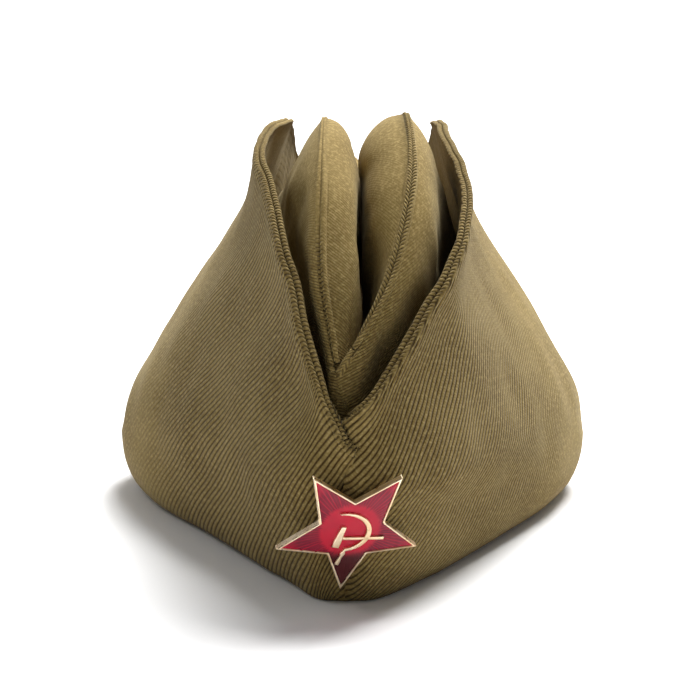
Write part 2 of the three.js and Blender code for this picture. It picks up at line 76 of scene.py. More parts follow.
RIGHT_STATIONS = (
    (0.00, -1.00, 1.70, 1.20, 0.7, -0.02, -1.012, 0.40, -0.12, -0.985, 0.49, 0.12),
    (0.14, -0.98, 1.50, 1.15, 0.6, 0.24, -1.00, 0.46, 0.26, -0.970, 0.57, 0.25),
    (0.29, -0.88, 1.30, 1.00, 0.4, 0.54, -0.94, 0.57, 0.68, -0.920, 0.68, 0.55),
    (0.46, -0.70, 1.10, 1.00, 0.1, 0.92, -0.80, 0.75, 1.00, -0.790, 0.86, 0.90),
    (0.66, -0.48, 1.00, 1.00, 0.0, 0.94, -0.58, 0.89, 0.95, -0.550, 0.99, 1.00),
    (0.88, -0.22, 1.00, 1.00, 0.0, 0.84, -0.29, 0.97, 0.78, -0.270, 0.93, 1.00),
    (0.98, 0.00, 1.00, 1.00, 0.0, 0.83, 0.00, 0.985, 0.66, 0.000, 0.87, 1.00),
    (0.88, 0.22, 1.00, 1.00, 0.0, 0.85, 0.29, 0.955, 0.62, 0.270, 0.87, 1.00),
    (0.65, 0.48, 1.00, 1.00, 0.0, 0.84, 0.58, 0.88, 0.60, 0.550, 0.87, 1.00),
    (0.46, 0.70, 1.10, 1.00, 0.1, 0.68, 0.80, 0.74, 0.58, 0.790, 0.80, 0.90),
    (0.29, 0.88, 1.30, 1.00, 0.4, 0.44, 0.94, 0.56, 0.46, 0.920, 0.66, 0.55),
    (0.14, 0.98, 1.50, 1.15, 0.6, 0.20, 1.00, 0.46, 0.20, 0.970, 0.56, 0.25),
    (0.00, 1.00, 1.70, 1.20, 0.7, 0.00, 1.02, 0.41, 0.00, 0.985, 0.49, 0.12),
)

LEFT_STATIONS = (
    (0.00, -1.00, 1.70, 1.20, 0.7, -0.06, -1.025, 0.34, 0.12, -0.985, 0.49, 0.12),
    (0.13, -0.98, 1.50, 1.15, 0.6, 0.20, -1.00, 0.47, 0.22, -0.970, 0.55, 0.25),
    (0.25, -0.88, 1.30, 1.00, 0.4, 0.34, -0.95, 0.59, 0.38, -0.920, 0.68, 0.50),
    (0.41, -0.70, 1.10, 1.00, 0.1, 0.54, -0.81, 0.77, 0.40, -0.790, 0.86, 0.70),
    (0.62, -0.48, 1.00, 1.00, 0.0, 0.77, -0.58, 0.91, 0.42, -0.550, 0.98, 1.00),
    (0.89, -0.22, 1.00, 1.00, 0.0, 0.77, -0.29, 0.97, 0.45, -0.270, 0.93, 1.00),
    (1.00, 0.00, 1.00, 1.00, 0.0, 0.70, 0.00, 0.99, 0.48, 0.000, 0.87, 1.00),
    (0.90, 0.22, 1.00, 1.00, 0.0, 0.73, 0.29, 0.965, 0.50, 0.270, 0.87, 1.00),
    (0.65, 0.48, 1.00, 1.00, 0.0, 0.78, 0.58, 0.88, 0.50, 0.550, 0.87, 1.00),
    (0.44, 0.70, 1.10, 1.00, 0.1, 0.64, 0.80, 0.74, 0.50, 0.790, 0.80, 0.90),
    (0.27, 0.88, 1.30, 1.00, 0.4, 0.40, 0.94, 0.56, 0.42, 0.920, 0.66, 0.55),
    (0.14, 0.98, 1.50, 1.15, 0.6, 0.20, 1.00, 0.46, 0.20, 0.970, 0.56, 0.25),
    (0.00, 1.00, 1.70, 1.20, 0.7, 0.00, 1.02, 0.41, 0.00, 0.985, 0.49, 0.12),
)

# Floor of the tuck: x as a share of the ridge reach, y of the crown's half length, z of its height,
# then how full the left and the right lobe roll over it
VALLEY_STATIONS = (
    (-0.12, -0.985, 0.48, 0.0, 0.0),
    (0.04, -0.970, 0.51, 0.2, 0.0),
    (0.30, -0.920, 0.50, 0.7, 0.2),
    (0.22, -0.790, 0.47, 1.0, 0.7),
    (0.14, -0.550, 0.44, 1.0, 1.0),
    (0.14, -0.270, 0.46, 1.0, 1.0),
    (0.26, 0.000, 0.47, 1.0, 1.0),
    (0.26, 0.270, 0.46, 1.0, 1.0),
    (0.14, 0.550, 0.45, 1.0, 1.0),
    (0.05, 0.790, 0.47, 0.9, 0.9),
    (0.02, 0.920, 0.49, 0.4, 0.4),
    (0.00, 0.970, 0.50, 0.0, 0.0),
    (0.00, 0.985, 0.48, 0.0, 0.0),
)


@dataclass(frozen=True)
class CapSizes:
    """Named sizes that the station tables are shares of, in millimetres."""

    half_length: float = 132.0
    half_width: float = 73.0
    hip_height: float = 18.0
    fold_inset: float = 10.0
    flap_height: float = 115.0
    flap_belly: float = 4.0
    flap_flare: float = 2.6
    mouth_half_width: float = 32.0
    crown_height: float = 118.0
    crown_half_length: float = 128.0
    ridge_reach: float = 16.0
    shoulder_out: float = 7.0
    shoulder_drop: float = 9.0
    lobe_gap: float = 4.5
    front_gap: float = 4.0
    flap_cloth: float = 2.4
    crown_cloth: float = 1.6
    clearance: float = 0.4
    hem_room: float = 1.6
    fold_corner: float = 2.9
    upturn: float = 16.0


SIZES = CapSizes()


def unit(vectors: np.ndarray) -> np.ndarray:
    """Scale vectors to length one.

    Args:
        vectors: Array whose last axis holds x, y and z.

    Returns:
        The same array with unit vectors.
    """
    length = np.linalg.norm(vectors, axis=-1, keepdims=True)
    return vectors / np.maximum(length, 1e-9)


def run_through(points: np.ndarray, at: np.ndarray) -> np.ndarray:
    """Follow the centripetal Catmull-Rom run through control points.

    Args:
        points: Control points, shaped (..., count, size).
        at: Shares of the run from 0 to 1, shaped (samples,) or (..., samples).

    Returns:
        Points on the run, shaped (..., samples, size).
    """
    first = 2 * points[..., :1, :] - points[..., 1:2, :]
    last = 2 * points[..., -1:, :] - points[..., -2:-1, :]
    padded = np.concatenate([first, points, last], axis=-2)
    spans = points.shape[-2] - 1
    at = np.broadcast_to(at, points.shape[:-2] + at.shape[-1:])
    place = np.clip(at, 0, 1) * spans
    index = np.minimum(place.astype(int), spans - 1)
    share = (place - index)[..., None]

    def control(step: int) -> np.ndarray:
        """Control point of each sample, step places after the one before its span."""
        return np.take_along_axis(padded, (index + step)[..., None], axis=-2)

    p0, p1, p2, p3 = (control(step) for step in range(4))

    def knot(a: np.ndarray, b: np.ndarray) -> np.ndarray:
        """Knot distance between two control points."""
        return np.maximum(((a - b) ** 2).sum(-1, keepdims=True) ** 0.25, 1e-4)

    d0, d1, d2 = knot(p0, p1), knot(p1, p2), knot(p2, p3)
    t1 = ((p1 - p0) / d0 - (p2 - p0) / (d0 + d1) + (p2 - p1) / d1) * d1
    t2 = ((p2 - p1) / d1 - (p3 - p1) / (d1 + d2) + (p3 - p2) / d2) * d1
    c2 = -3 * p1 + 3 * p2 - 2 * t1 - t2
    c3 = 2 * p1 - 2 * p2 + t1 + t2
    return p1 + t1 * share + c2 * share**2 + c3 * share**3


def skin_normals(skin: np.ndarray, sign: float) -> np.ndarray:
    """Work out the normals of a skin given as a grid of points.

    Args:
        skin: Points shaped (stations, rows, 3).
        sign: 1 or -1, which way the normals face.

    Returns:
        Unit normals of the same shape.
    """
    along = np.gradient(skin, axis=0)
    up = np.gradient(skin, axis=1)
    return sign * unit(np.cross(along, up))


def run_lengths(skin: np.ndarray, axis: int) -> np.ndarray:
    """Add up the cloth's length along one axis of a skin.

    Args:
        skin: Points shaped (stations, rows, 3).
        axis: 0 for along the stations, 1 for up the rows.

    Returns:
        Length from the first point, shaped (stations, rows).
    """
    steps = np.linalg.norm(np.diff(skin, axis=axis), axis=-1)
    pad = [(0, 0), (0, 0)]
    pad[axis] = (1, 0)
    return np.cumsum(np.pad(steps, pad), axis=axis)


def drift(a: np.ndarray, b: np.ndarray, seed: int, wave: float) -> np.ndarray:
    """Make a soft, unpatterned swell, as in cloth that has been handled.

    Args:
        a: First coordinate in millimetres.
        b: Second coordinate in millimetres.
        seed: Which swell.
        wave: Usual distance between swells in millimetres.

    Returns:
        Values between about -1 and 1.
    """
    chance = np.random.default_rng(seed)
    total = np.zeros(np.broadcast(a, b).shape)
    for _ in range(7):
        turn, phase = chance.uniform(0, 2 * math.pi, 2)
        pace = 2 * math.pi / (wave * chance.uniform(0.6, 1.8))
        total += np.sin(pace * (a * math.cos(turn) + b * math.sin(turn)) + phase)
    return total / 3.0


def bell(distance: np.ndarray, width: float) -> np.ndarray:
    """Smooth hump of height one, width millimetres wide at its waist."""
    return np.exp(-((distance / width) ** 2))


def put_in_scene(name: str, data: bpy.types.ID) -> bpy.types.Object:
    """Make an object and link it to the scene.

    Args:
        name: Name of the object.
        data: Its mesh, curve, light or camera.

    Returns:
        The object.
    """
    thing = bpy.data.objects.new(name, data)
    bpy.context.collection.objects.link(thing)
    return thing


@dataclass(frozen=True)
class Swell:
    """Swell of handled cloth: its height, its seed and the usual distance between its tops."""

    height: float
    seed: int
    wave: float


def swelling(swells: tuple[Swell, ...], along: np.ndarray, up: np.ndarray,
             side: int) -> np.ndarray:
    """Add up the swells of a panel.

    Args:
        swells: The swells.
        along: Run of each point along the panel in millimetres.
        up: Run of each point up the panel in millimetres.
        side: 1 on the right half and -1 on the left, so that the halves differ.

    Returns:
        How far each point stands out, in millimetres.
    """
    return sum(s.height * drift(along, up, s.seed + side, s.wave) for s in swells)


@dataclass(frozen=True)
class Grain:
    """How a panel's weave lies: along which line, at which row, and how tightly along it.

    skew is how far the weave leans over for each millimetre of height at the front seam, and
    settles is the run over which that dies away.
    """

    line: np.ndarray
    row: int
    share: np.ndarray | float = 1.0
    skew: float = 0.0
    settles: float = 35.0

    def coordinates(self, skin: np.ndarray, sign: float) -> np.ndarray:
        """Lay a skin out flat, so that the weave runs over it as over the cut cloth.

        Args:
            skin: Points shaped (stations, rows, 3).
            sign: 1 where the skin runs to the right as seen from outside, otherwise -1.

        Returns:
            Cloth coordinates in millimetres, shaped (stations, rows, 2).
        """
        run = unit(np.gradient(self.line, axis=0))[:, None]
        share = self.share * np.ones(len(skin))
        start = np.linalg.norm(np.diff(self.line, axis=0), axis=1) * (share[1:] + share[:-1]) / 2
        start = np.concatenate([[0], np.cumsum(start)])[:, None]
        aside = ((skin - self.line[:, None]) * run).sum(-1) * share[:, None]
        steps = np.diff(skin, axis=1)
        sideways = (steps * run).sum(-1)
        rise = np.sqrt(np.maximum((steps**2).sum(-1) - sideways**2, 1e-9))
        up = np.cumsum(np.pad(rise, [(0, 0), (1, 0)]), axis=1)
        up -= up[:, self.row:self.row + 1].copy()
        lean = self.skew * np.exp(-start / self.settles) * up
        return np.stack([sign * (start + aside) - lean, up], axis=-1)


@dataclass
class ClothShell:
    """Closed shell of cloth, one ring of points per station.

    cloth holds each point's place on the flat cloth, and edge its run along the worked edge and its
    distance from that edge's groove, all in millimetres.
    """

    name: str
    rings: np.ndarray
    cloth: np.ndarray
    edge: np.ndarray
    facing: float

    def build(self) -> bpy.types.Object:
        """Make the mesh object.

        Returns:
            A smooth-shaded closed mesh with the UV maps cloth and edge.
        """
        stations, rows = self.rings.shape[:2]
        index = np.arange(stations * rows).reshape(stations, rows)
        a, b = index[:-1], index[1:]
        quads = np.stack([a, b, np.roll(b, -1, axis=1), np.roll(a, -1, axis=1)], axis=-1)
        quads = quads.reshape(-1, 4)
        first, last = index[0], index[-1][::-1]
        if self.facing < 0:
            quads, first, last = quads[:, ::-1], first[::-1], last[::-1]
        corners = np.concatenate([quads.ravel(), first, last])
        totals = np.concatenate([np.full(len(quads), 4), [rows, rows]])
        starts = np.concatenate([[0], np.cumsum(totals)[:-1]])
        points = (self.rings.reshape(-1, 3) + CAD_SHIFT) * MM
        mesh = bpy.data.meshes.new(self.name)
        mesh.vertices.add(len(points))
        mesh.vertices.foreach_set("co", points.ravel())
        mesh.loops.add(len(corners))
        mesh.loops.foreach_set("vertex_index", corners)
        mesh.polygons.add(len(totals))
        mesh.polygons.foreach_set("loop_start", starts)
        mesh.polygons.foreach_set("loop_total", totals)
        mesh.polygons.foreach_set("use_smooth", np.arange(len(totals)) < len(quads))
        mesh.update(calc_edges=True)
        for label, values in (("cloth", self.cloth), ("edge", self.edge)):
            layer = mesh.uv_layers.new(name=label)
            layer.data.foreach_set("uv", values.reshape(-1, 2)[corners].ravel())
        mesh.update()
        return put_in_scene(self.name, mesh)


def circle_steps(centre: tuple[float, float], radius: float, start: float, end: float,
                 count: int) -> list[tuple[float, float]]:
    """Points on an arc, as steps inwards and up.

    Args:
        centre: Its centre, inwards and up.
        radius: Its radius.
        start: First angle in degrees, 180 on the outer side and 90 at the top.
        end: Last angle in degrees.
        count: Number of points.

    Returns:
        The points.
    """
    angles = np.radians(np.linspace(start, end, count))
    return [(centre[0] + radius * math.cos(a), centre[1] + radius * math.sin(a)) for a in angles]


# Sections of the worked edges, as steps inwards and up from the edge's line in millimetres. The
# flap has two folded plies with a groove between them, and each crown panel one fold beside its
# seam. FLAP_GROOVE is the step that lies in the flap's groove.
LIP = 0.78
FLAP_LIPS = (circle_steps((LIP, 0.0), LIP, 175, 10, 7)
             + [(2 * LIP - 0.02, -0.55), (2 * LIP + 0.14, -0.55)]
             + circle_steps((3 * LIP + 0.1, -0.05), LIP, 170, 5, 7))
FLAP_GROOVE = 8
SEAM_LIP = circle_steps((-0.72, -0.70), 0.76, 205, -35, 9)
# The ridge seam's fold is largest low down, and is pressed smaller from a share of the seam's
# height upwards, over another share
SEAM_FULL, SEAM_PRESSED = 1.1, 0.6
PRESSED_FROM, PRESSED_OVER = 0.86, 0.1


@dataclass
class HalfCap:
    """Lines of one half of the cap at a row of stations.

    fan is the share of the half length past which the outward directions fan round the cap's end.
    steepest is the least cosine that the turn between the foot line and them is taken to have.
    """

    side: Side
    table: tuple[tuple[float, ...], ...]
    count: int = 300
    sizes: CapSizes = SIZES
    fan: float = 0.74
    steepest: float = 0.6
    at: np.ndarray = field(init=False)
    column: dict[str, np.ndarray] = field(init=False)

    def __post_init__(self) -> None:
        """Read the table between its rows."""
        self.at = np.linspace(0, 1, self.count)
        rows = np.array(self.table)
        self.column = {name: rows[:, i] for i, name in enumerate(COLUMNS)}

    def word(self) -> str:
        """Which half it is, as pieces and materials name it."""
        return self.side.name.lower()

    def line(self, names: tuple[str, str, str], scale: tuple[float, float, float]) -> np.ndarray:
        """Follow three columns of the table as one line.

        Args:
            names: Columns for x, y and z.
            scale: What each column is a share of.

        Returns:
            Points shaped (stations, 3).
        """
        points = np.stack([self.column[n] * k for n, k in zip(names, scale)], axis=-1)
        return run_through(points, self.at)

    def hip(self) -> np.ndarray:
        """Widest line of the folded lower edge."""
        z = self.sizes
        return self.line(("hip_x", "hip_y", "hip_z"),
                         (self.side.value * z.half_width, z.half_length, z.hip_height))

    def edge(self) -> np.ndarray:
        """Top edge of the flap."""
        z = self.sizes
        return self.line(("edge_x", "edge_y", "edge_z"),
                         (self.side.value * z.mouth_half_width, z.half_length, z.flap_height))

    def ridge(self) -> np.ndarray:
        """Top seam of the lobe."""
        z = self.sizes
        return self.line(("ridge_x", "ridge_y", "ridge_z"),
                         (self.side.value * z.ridge_reach, z.crown_half_length, z.crown_height))

    def ease(self) -> np.ndarray:
        """Slack, fold and lean at each station."""
        return self.line(("slack", "fold", "lean"), (1, 1, 1))

    def outward(self) -> np.ndarray:
        """Level direction out of the cap, fanning round at its two ends.

        Returns:
            Unit vectors shaped (stations, 3).
        """
        hip = self.hip()
        fan = self.fan * self.sizes.half_length
        level = np.stack([hip[:, 0], hip[:, 1] - np.clip(hip[:, 1], -fan, fan), 0 * hip[:, 2]], -1)
        ends = np.abs(level[:, :1]) < 1e-6
        return unit(np.where(ends, [0, 1, 0] * np.sign(hip[:, 1:2]), level))

    def contact(self) -> np.ndarray:
        """Line on which the fold meets what the cap stands on.

        Returns:
            Points shaped (stations, 3).
        """
        inset = self.sizes.fold_inset * self.ease()[:, 1:2]
        foot = self.hip() - self.outward() * inset
        foot[:, 2] = 0
        return foot

    def square_step(self) -> np.ndarray:
        """How far along the outward direction one millimetre square to the foot line is.

        Returns:
            Lengths in millimetres, shaped (stations, 1).
        """
        run = np.gradient(self.contact(), axis=0)
        square = unit(np.stack([run[:, 1], -run[:, 0], 0 * run[:, 0]], -1))
        facing = np.abs((square * self.outward()).sum(-1, keepdims=True))
        return 1 / np.maximum(facing, self.steepest)

    def wall(self, at: np.ndarray) -> np.ndarray:
        """Follow the leaning wall of the flap from hip to edge.

        Args:
            at: Shares from 0 to 1.

        Returns:
            Points shaped (stations, shares, 3).
        """
        hip, edge = self.hip(), self.edge()
        out, slack = self.outward(), self.ease()[:, :1]
        belly, flare = self.sizes.flap_belly * slack, self.sizes.flap_flare * slack
        between = [hip + share * (edge - hip) + out * push
                   for share, push in ((0.16, belly), (0.4, belly / 2), (0.75, -flare))]
        return run_through(np.stack([hip, *between, edge], axis=1), at)


# The lining has one row for so many of the outer skin's, because it hardly shows
LINING_STEP = 3


def climbing(skin: np.ndarray) -> np.ndarray:
    """Unit direction in which a skin's last rows climb to its edge."""
    return unit(skin[:, -1] - skin[:, -4])


def cloth_wall(name: str, skin: np.ndarray, grain: Grain, sign: float, lip: np.ndarray,
               groove: int, thickness: np.ndarray) -> ClothShell:
    """Turn an outer skin and a worked edge into a closed cloth wall.

    Args:
        name: Name of the piece.
        skin: Outer skin, shaped (stations, rows, 3), from its foot up to its edge.
        grain: How its weave lies.
        sign: 1 or -1, which way the skin faces.
        lip: Points of the worked edge, shaped (stations, steps, 3).
        groove: Which of those steps lies in the edge's groove.
        thickness: Thickness of the cloth in millimetres at each row, shaped (rows,) or wider.

    Returns:
        The closed shell.
    """
    lining = skin - thickness[..., None] * skin_normals(skin, sign)
    rings = np.concatenate([skin, lip, lining[:, ::-LINING_STEP]], axis=1)
    run = np.linalg.norm(np.diff(lip[:, groove], axis=0), axis=1)
    run = np.concatenate([[0], np.cumsum(run)])[:, None] * np.ones(rings.shape[1])
    reach = run_lengths(rings, 1)
    at = skin.shape[1] + groove
    reach = reach - reach[:, at:at + 1]
    cloth = grain.coordinates(rings, sign)
    return ClothShell(name, rings, cloth, np.stack([run, reach], -1), sign)


@dataclass
class Flap:
    """One half of the turned-up cuff.

    Lengths are in millimetres. The front and back seams pull a crease between two puffs, and the
    hem stands up from the cloth below it, with its stitches drawn in near the edge, where the
    cloth is thicker by edge_bulk. loose_rows rows of the fold below the wall follow its relief,
    and those under them lie still. Swells grow over a height above still_below, and the seams'
    creases over a height from the floor. narrowest is the least share at which the weave is laid
    out, and skew how far the left half's weave leans over at the front seam.
    """

    half: HalfCap
    wall_rows: int = 96
    skew: float = 0.35
    narrowest: float = 0.42
    swells: tuple[Swell, ...] = (Swell(0.45, 11, 46), Swell(0.2, 31, 19))
    crease_depth: float = 1.3
    crease_width: float = 1.2
    puff_height: float = 0.7
    puff_place: float = 5.0
    puff_width: float = 3.0
    hem_rise: float = 0.22
    hem_width: float = 3.4
    hem_edge: float = 0.35
    stitch_depth: float = 0.25
    stitch_place: float = 0.9
    edge_bulk: float = 0.65
    edge_reach: float = 3.0
    loose_rows: int = 8
    still_below: float = 4.0
    swells_over: float = 25.0
    seams_over: float = 6.0

    def skin(self) -> np.ndarray:
        """Outer skin from the hem inside, under the fold and up to the edge.

        Returns:
            Points shaped (stations, rows, 3).
        """
        half, z = self.half, self.half.sizes
        hip, out, contact = half.hip(), half.outward(), half.contact()
        ease, step = half.ease(), half.square_step()
        channel = 2 * z.flap_cloth + z.clearance + z.crown_cloth + z.hem_room

        def foot(inward: float, height: float) -> np.ndarray:
            """Row of points beside the foot line.

            Args:
                inward: Distance inwards from it.
                height: Height above what the cap stands on.

            Returns:
                Points shaped (stations, 3).
            """
            row = contact - out * step * inward
            row[:, 2] = height
            return row

        rows = [foot(channel, z.upturn), foot(channel, z.upturn / 2), foot(channel, z.fold_corner)]
        for turn in np.radians([22, 45, 68, 90]):
            rows.append(foot(channel - z.fold_corner * (1 - math.cos(turn)),
                             z.fold_corner * (1 - math.sin(turn))))
        rows.append(contact)
        inset, lean = z.fold_inset * ease[:, 1:2], ease[:, 2:3]
        for turn in np.radians(range(8, 88, 8)):
            rise = 1 - math.cos(turn)
            reach = math.sin(turn) * (1 - lean) + rise * lean
            row = contact + out * inset * reach
            row[:, 2] = hip[:, 2] * rise
            rows.append(row)
        wall = half.wall(np.linspace(0, 1, self.wall_rows))
        return np.concatenate([np.stack(rows, axis=1), wall], axis=1)

    def relief(self, skin: np.ndarray) -> np.ndarray:
        """Add what handling and sewing leave in the cloth.

        Args:
            skin: Outer skin shaped (stations, rows, 3).

        Returns:
            The worked skin.
        """
        side = self.half.side.value
        along, up = run_lengths(skin, 0), run_lengths(skin, 1)
        from_edge = up[:, -1:] - up
        height = skin[..., 2]
        free = np.clip((height - self.still_below) / self.swells_over, 0, 1)
        sewn = np.minimum(along, along[-1:] - along)
        crease = (-self.crease_depth * bell(sewn, self.crease_width)
                  + self.puff_height * bell(sewn - self.puff_place, self.puff_width))
        hem = (self.hem_rise / (1 + np.exp((from_edge - self.hem_width) / self.hem_edge))
               - self.stitch_depth * bell(from_edge - self.stitch_place, self.hem_edge))
        amount = (swelling(self.swells, along, up, side) * free
                  + crease * np.clip(height / self.seams_over, 0, 1) + hem)
        amount[:, : skin.shape[1] - self.wall_rows - self.loose_rows] = 0
        return skin + skin_normals(skin, side) * amount[..., None]

    def build(self) -> bpy.types.Object:
        """Make the flap's mesh.

        Returns:
            The flap.
        """
        side = self.half.side.value
        skin = self.relief(self.skin())
        normals = skin_normals(skin, side)[:, -1]
        steps = np.array(FLAP_LIPS)
        lip = (skin[:, -1:] - normals[:, None] * steps[None, :, :1]
               + climbing(skin)[:, None] * (steps[None, :, 1:] + 0.1))
        up = run_lengths(skin, 1)
        thickness = (self.half.sizes.flap_cloth
                     + self.edge_bulk * bell(up[:, -1:] - up, self.edge_reach))
        hip = self.half.hip()
        # Laid out as seen from the front quarter, where the ribs then keep their pitch
        facing = np.abs(unit(np.gradient(hip, axis=0)) @ unit(np.array([side, 0.3, 0])))
        grain = Grain(hip, skin.shape[1] - self.wall_rows, np.clip(facing, self.narrowest, 1),
                      self.skew if side < 0 else 0.0)
        return cloth_wall(f"flap_cloth_{self.half.word()}", skin, grain, side, lip, FLAP_GROOVE,
                          thickness).build()


def seam_lip(ridge: np.ndarray, outer: np.ndarray, inner: np.ndarray, sign: float) -> np.ndarray:
    """Fold of one crown panel beside the ridge seam, with the other panel's fold against it.

    Args:
        ridge: The seam's line, shaped (stations, 3).
        outer: Unit direction in which this panel climbs to the seam.
        inner: Unit direction in which the other panel does.
        sign: 1 where the other panel lies towards +X, otherwise -1.

    Returns:
        Points of the fold, shaped (stations, steps, 3).
    """
    run = unit(np.gradient(ridge, axis=0))
    up = outer + inner + np.array([0, 0, 0.8])
    up = unit(up - (up * run).sum(-1, keepdims=True) * run)
    aside = sign * np.sign(run[:, 1:2]) * np.cross(run, up)
    aside = np.where(aside[:, :1] * sign < 0, -aside, aside)
    high = np.clip((ridge[:, 2] / ridge[:, 2].max() - PRESSED_FROM) / PRESSED_OVER, 0, 1)
    steps = np.array(SEAM_LIP)[None] * (SEAM_FULL - SEAM_PRESSED * high)[:, None, None]
    return ridge[:, None] + aside[:, None] * steps[..., :1] + up[:, None] * steps[..., 1:]


@dataclass
class CrownPanel:
    """Panel on one side of a lobe's ridge seam.

    faces is 1 where the panel faces out of the cap and -1 where it faces the tuck. The last trimmed
    millimetres below the seam belong to the seam's fold. The cloth lies still for still millimetres
    below that, and its swells grow over free_over more.
    """

    half: HalfCap
    part: str
    faces: int
    rows: int
    swells: tuple[Swell, ...]
    trimmed: float = 1.8
    still: float = 1.5
    free_over: float = 12.0

    def skin(self) -> np.ndarray:
        """Skin that shows, from its foot up to the ridge seam."""
        raise NotImplementedError

    def loose(self, along: np.ndarray, up: np.ndarray) -> np.ndarray:
        """Share of its swells that the cloth has, away from where it is held below."""
        raise NotImplementedError

    def build(self, skin: np.ndarray, climb: np.ndarray) -> bpy.types.Object:
        """Make the panel's mesh.

        Args:
            skin: The panel's skin.
            climb: Unit direction in which the panel across the seam climbs to it.

        Returns:
            The panel.
        """
        side = self.half.side.value
        facing = self.faces * side
        lip = seam_lip(self.half.ridge(), climbing(skin), climb, -facing)
        up = run_lengths(skin, 1)
        keep = skin.shape[1] - max(2, int(self.trimmed / np.median(up[:, -1] - up[:, -2])) + 1)
        skin = skin[:, :keep]
        along, up = run_lengths(skin, 0), run_lengths(skin, 1)
        free = np.clip((up[:, -1:] - up - self.still) / self.free_over, 0, 1)
        amount = swelling(self.swells, along, up, side) * (self.loose(along, up) * free)
        skin = skin + skin_normals(skin, facing) * amount[..., None]
        thickness = np.full(keep, self.half.sizes.crown_cloth)
        grain = Grain(self.half.ridge(), keep - 1)
        return cloth_wall(f"{self.part}_{self.half.word()}", skin, grain, facing, lip,
                          lip.shape[1] - 2, thickness).build()


@dataclass
class CrownSide(CrownPanel):
    """Outer side panel of one lobe.

    From front_from millimetres before the cap's middle, and over front_over more, the panel draws
    away from the flap. The flap holds its first held_to millimetres still, and its swells grow over
    loose_over more. foot_height is a share of the hip's height.
    """

    part: str = "crown_side"
    faces: int = 1
    rows: int = 90
    swells: tuple[Swell, ...] = (Swell(0.7, 51, 38), Swell(0.3, 71, 15))
    front_from: float = 55.0
    front_over: float = 40.0
    held_to: float = 20.0
    loose_over: float = 30.0
    foot_height: float = 0.7

    def loose(self, along: np.ndarray, up: np.ndarray) -> np.ndarray:
        """Share of its swells that the cloth has, above the folded flap."""
        return np.clip((up - self.held_to) / self.loose_over, 0, 1)

    def skin(self) -> np.ndarray:
        """Outer skin from its foot in the folded flap up to the ridge seam.

        Returns:
            Points shaped (stations, rows, 3).
        """
        half, z = self.half, self.half.sizes
        sign = half.side.value
        hip, edge, ridge = half.hip(), half.edge(), half.ridge()
        out, contact, slack = half.outward(), half.contact(), half.ease()[:, :1]
        footing = z.flap_cloth + z.clearance
        shoulder = ridge[:, 2:3] - z.shoulder_drop * slack
        up_to = np.clip((shoulder - hip[:, 2:3]) / (edge[:, 2:3] - hip[:, 2:3]), 0.2, 1)

        def inside(share: float, gap: np.ndarray) -> np.ndarray:
            """Row of points inside the flap's wall with a gap to it.

            Args:
                share: Share of the way up to the lobe's shoulder.
                gap: Gap in millimetres at each station.

            Returns:
                Points shaped (stations, 3).
            """
            at = share * up_to
            here = half.wall(at)[:, 0]
            lower, upper = half.wall(at - 0.004)[:, 0], half.wall(at + 0.004)[:, 0]
            normal = sign * unit(np.cross(np.gradient(here, axis=0), upper - lower))
            return here - normal * (z.flap_cloth + 2 * z.clearance + gap)

        foot = contact - out * half.square_step() * footing
        low = foot.copy()
        foot[:, 2] = footing
        low[:, 2:3] = self.foot_height * hip[:, 2:3]
        forward = (np.clip((-ridge[:, 1:2] - self.front_from) / self.front_over, 0, 1)
                   * np.clip(slack * 3 - 0.3, 0, 1))
        lobe = ridge + out * (z.shoulder_out * slack - 0.45 * z.front_gap * forward)
        lobe[:, 2:3] -= z.shoulder_drop * slack
        points = np.stack([
            low,
            inside(0.25, 0.5 * z.lobe_gap * slack),
            inside(0.6, z.lobe_gap * slack + z.front_gap * forward),
            lobe,
            ridge,
        ], axis=1)
        panel = run_through(points, np.linspace(0, 1, self.rows))
        return np.concatenate([foot[:, None], panel], axis=1)


@dataclass
class CrownTuck(CrownPanel):
    """Inner face of one lobe, from its ridge seam down to the bottom of the tuck.

    shape holds the face's section as shares of the way across to the tuck's floor and of the way
    down to it, and pressed is how many millimetres its middle is pushed outwards. Its swells grow
    over loose_over millimetres from the front seam.
    """

    part: str = "crown_tuck"
    faces: int = -1
    rows: int = 110
    swells: tuple[Swell, ...] = (Swell(0.5, 91, 34), Swell(0.2, 95, 14))
    loose_over: float = 30.0
    pressed: float = 0.55
    shape: tuple[tuple[float, float], ...] = (
        (0.0, 0.0), (0.45, 0.026), (0.80, 0.088), (0.965, 0.18), (0.99, 0.36), (0.96, 0.6),
        (0.90, 0.82), (1.0, 1.0))

    def loose(self, along: np.ndarray, up: np.ndarray) -> np.ndarray:
        """Share of its swells that the cloth has, behind the front seam."""
        return np.clip(along / self.loose_over, 0, 1)

    def skin(self) -> np.ndarray:
        """Skin that shows, from the tuck's floor up to the ridge seam.

        Returns:
            Points shaped (stations, rows, 3).
        """
        half, z = self.half, self.half.sizes
        side = half.side.value
        ridge = half.ridge()
        valley = np.array(VALLEY_STATIONS)
        scale = np.array([z.ridge_reach, z.crown_half_length, z.crown_height])
        floor = run_through(valley[:, :3] * scale, half.at)
        full = run_through(valley[:, 3:5], half.at)[:, 1 if side > 0 else 0][:, None]
        full = np.clip(full, 0, 1)
        across = floor[:, 0:1] - ridge[:, 0:1]
        rows = []
        for reach, depth in self.shape:
            row = ridge + (floor - ridge) * depth
            row[:, 0:1] = ridge[:, 0:1] + across * (depth + (reach - depth) * full)
            row[:, 0:1] += side * self.pressed * full * math.sin(math.pi * depth) ** 0.5
            rows.append(row)
        points = np.stack(rows[::-1], axis=1)
        return run_through(points, np.linspace(0, 1, self.rows))


Colour = tuple[float, float, float, float]
FLOAT, COLOUR, VECTOR = "NodeSocketFloat", "NodeSocketColor", "NodeSocketVector"


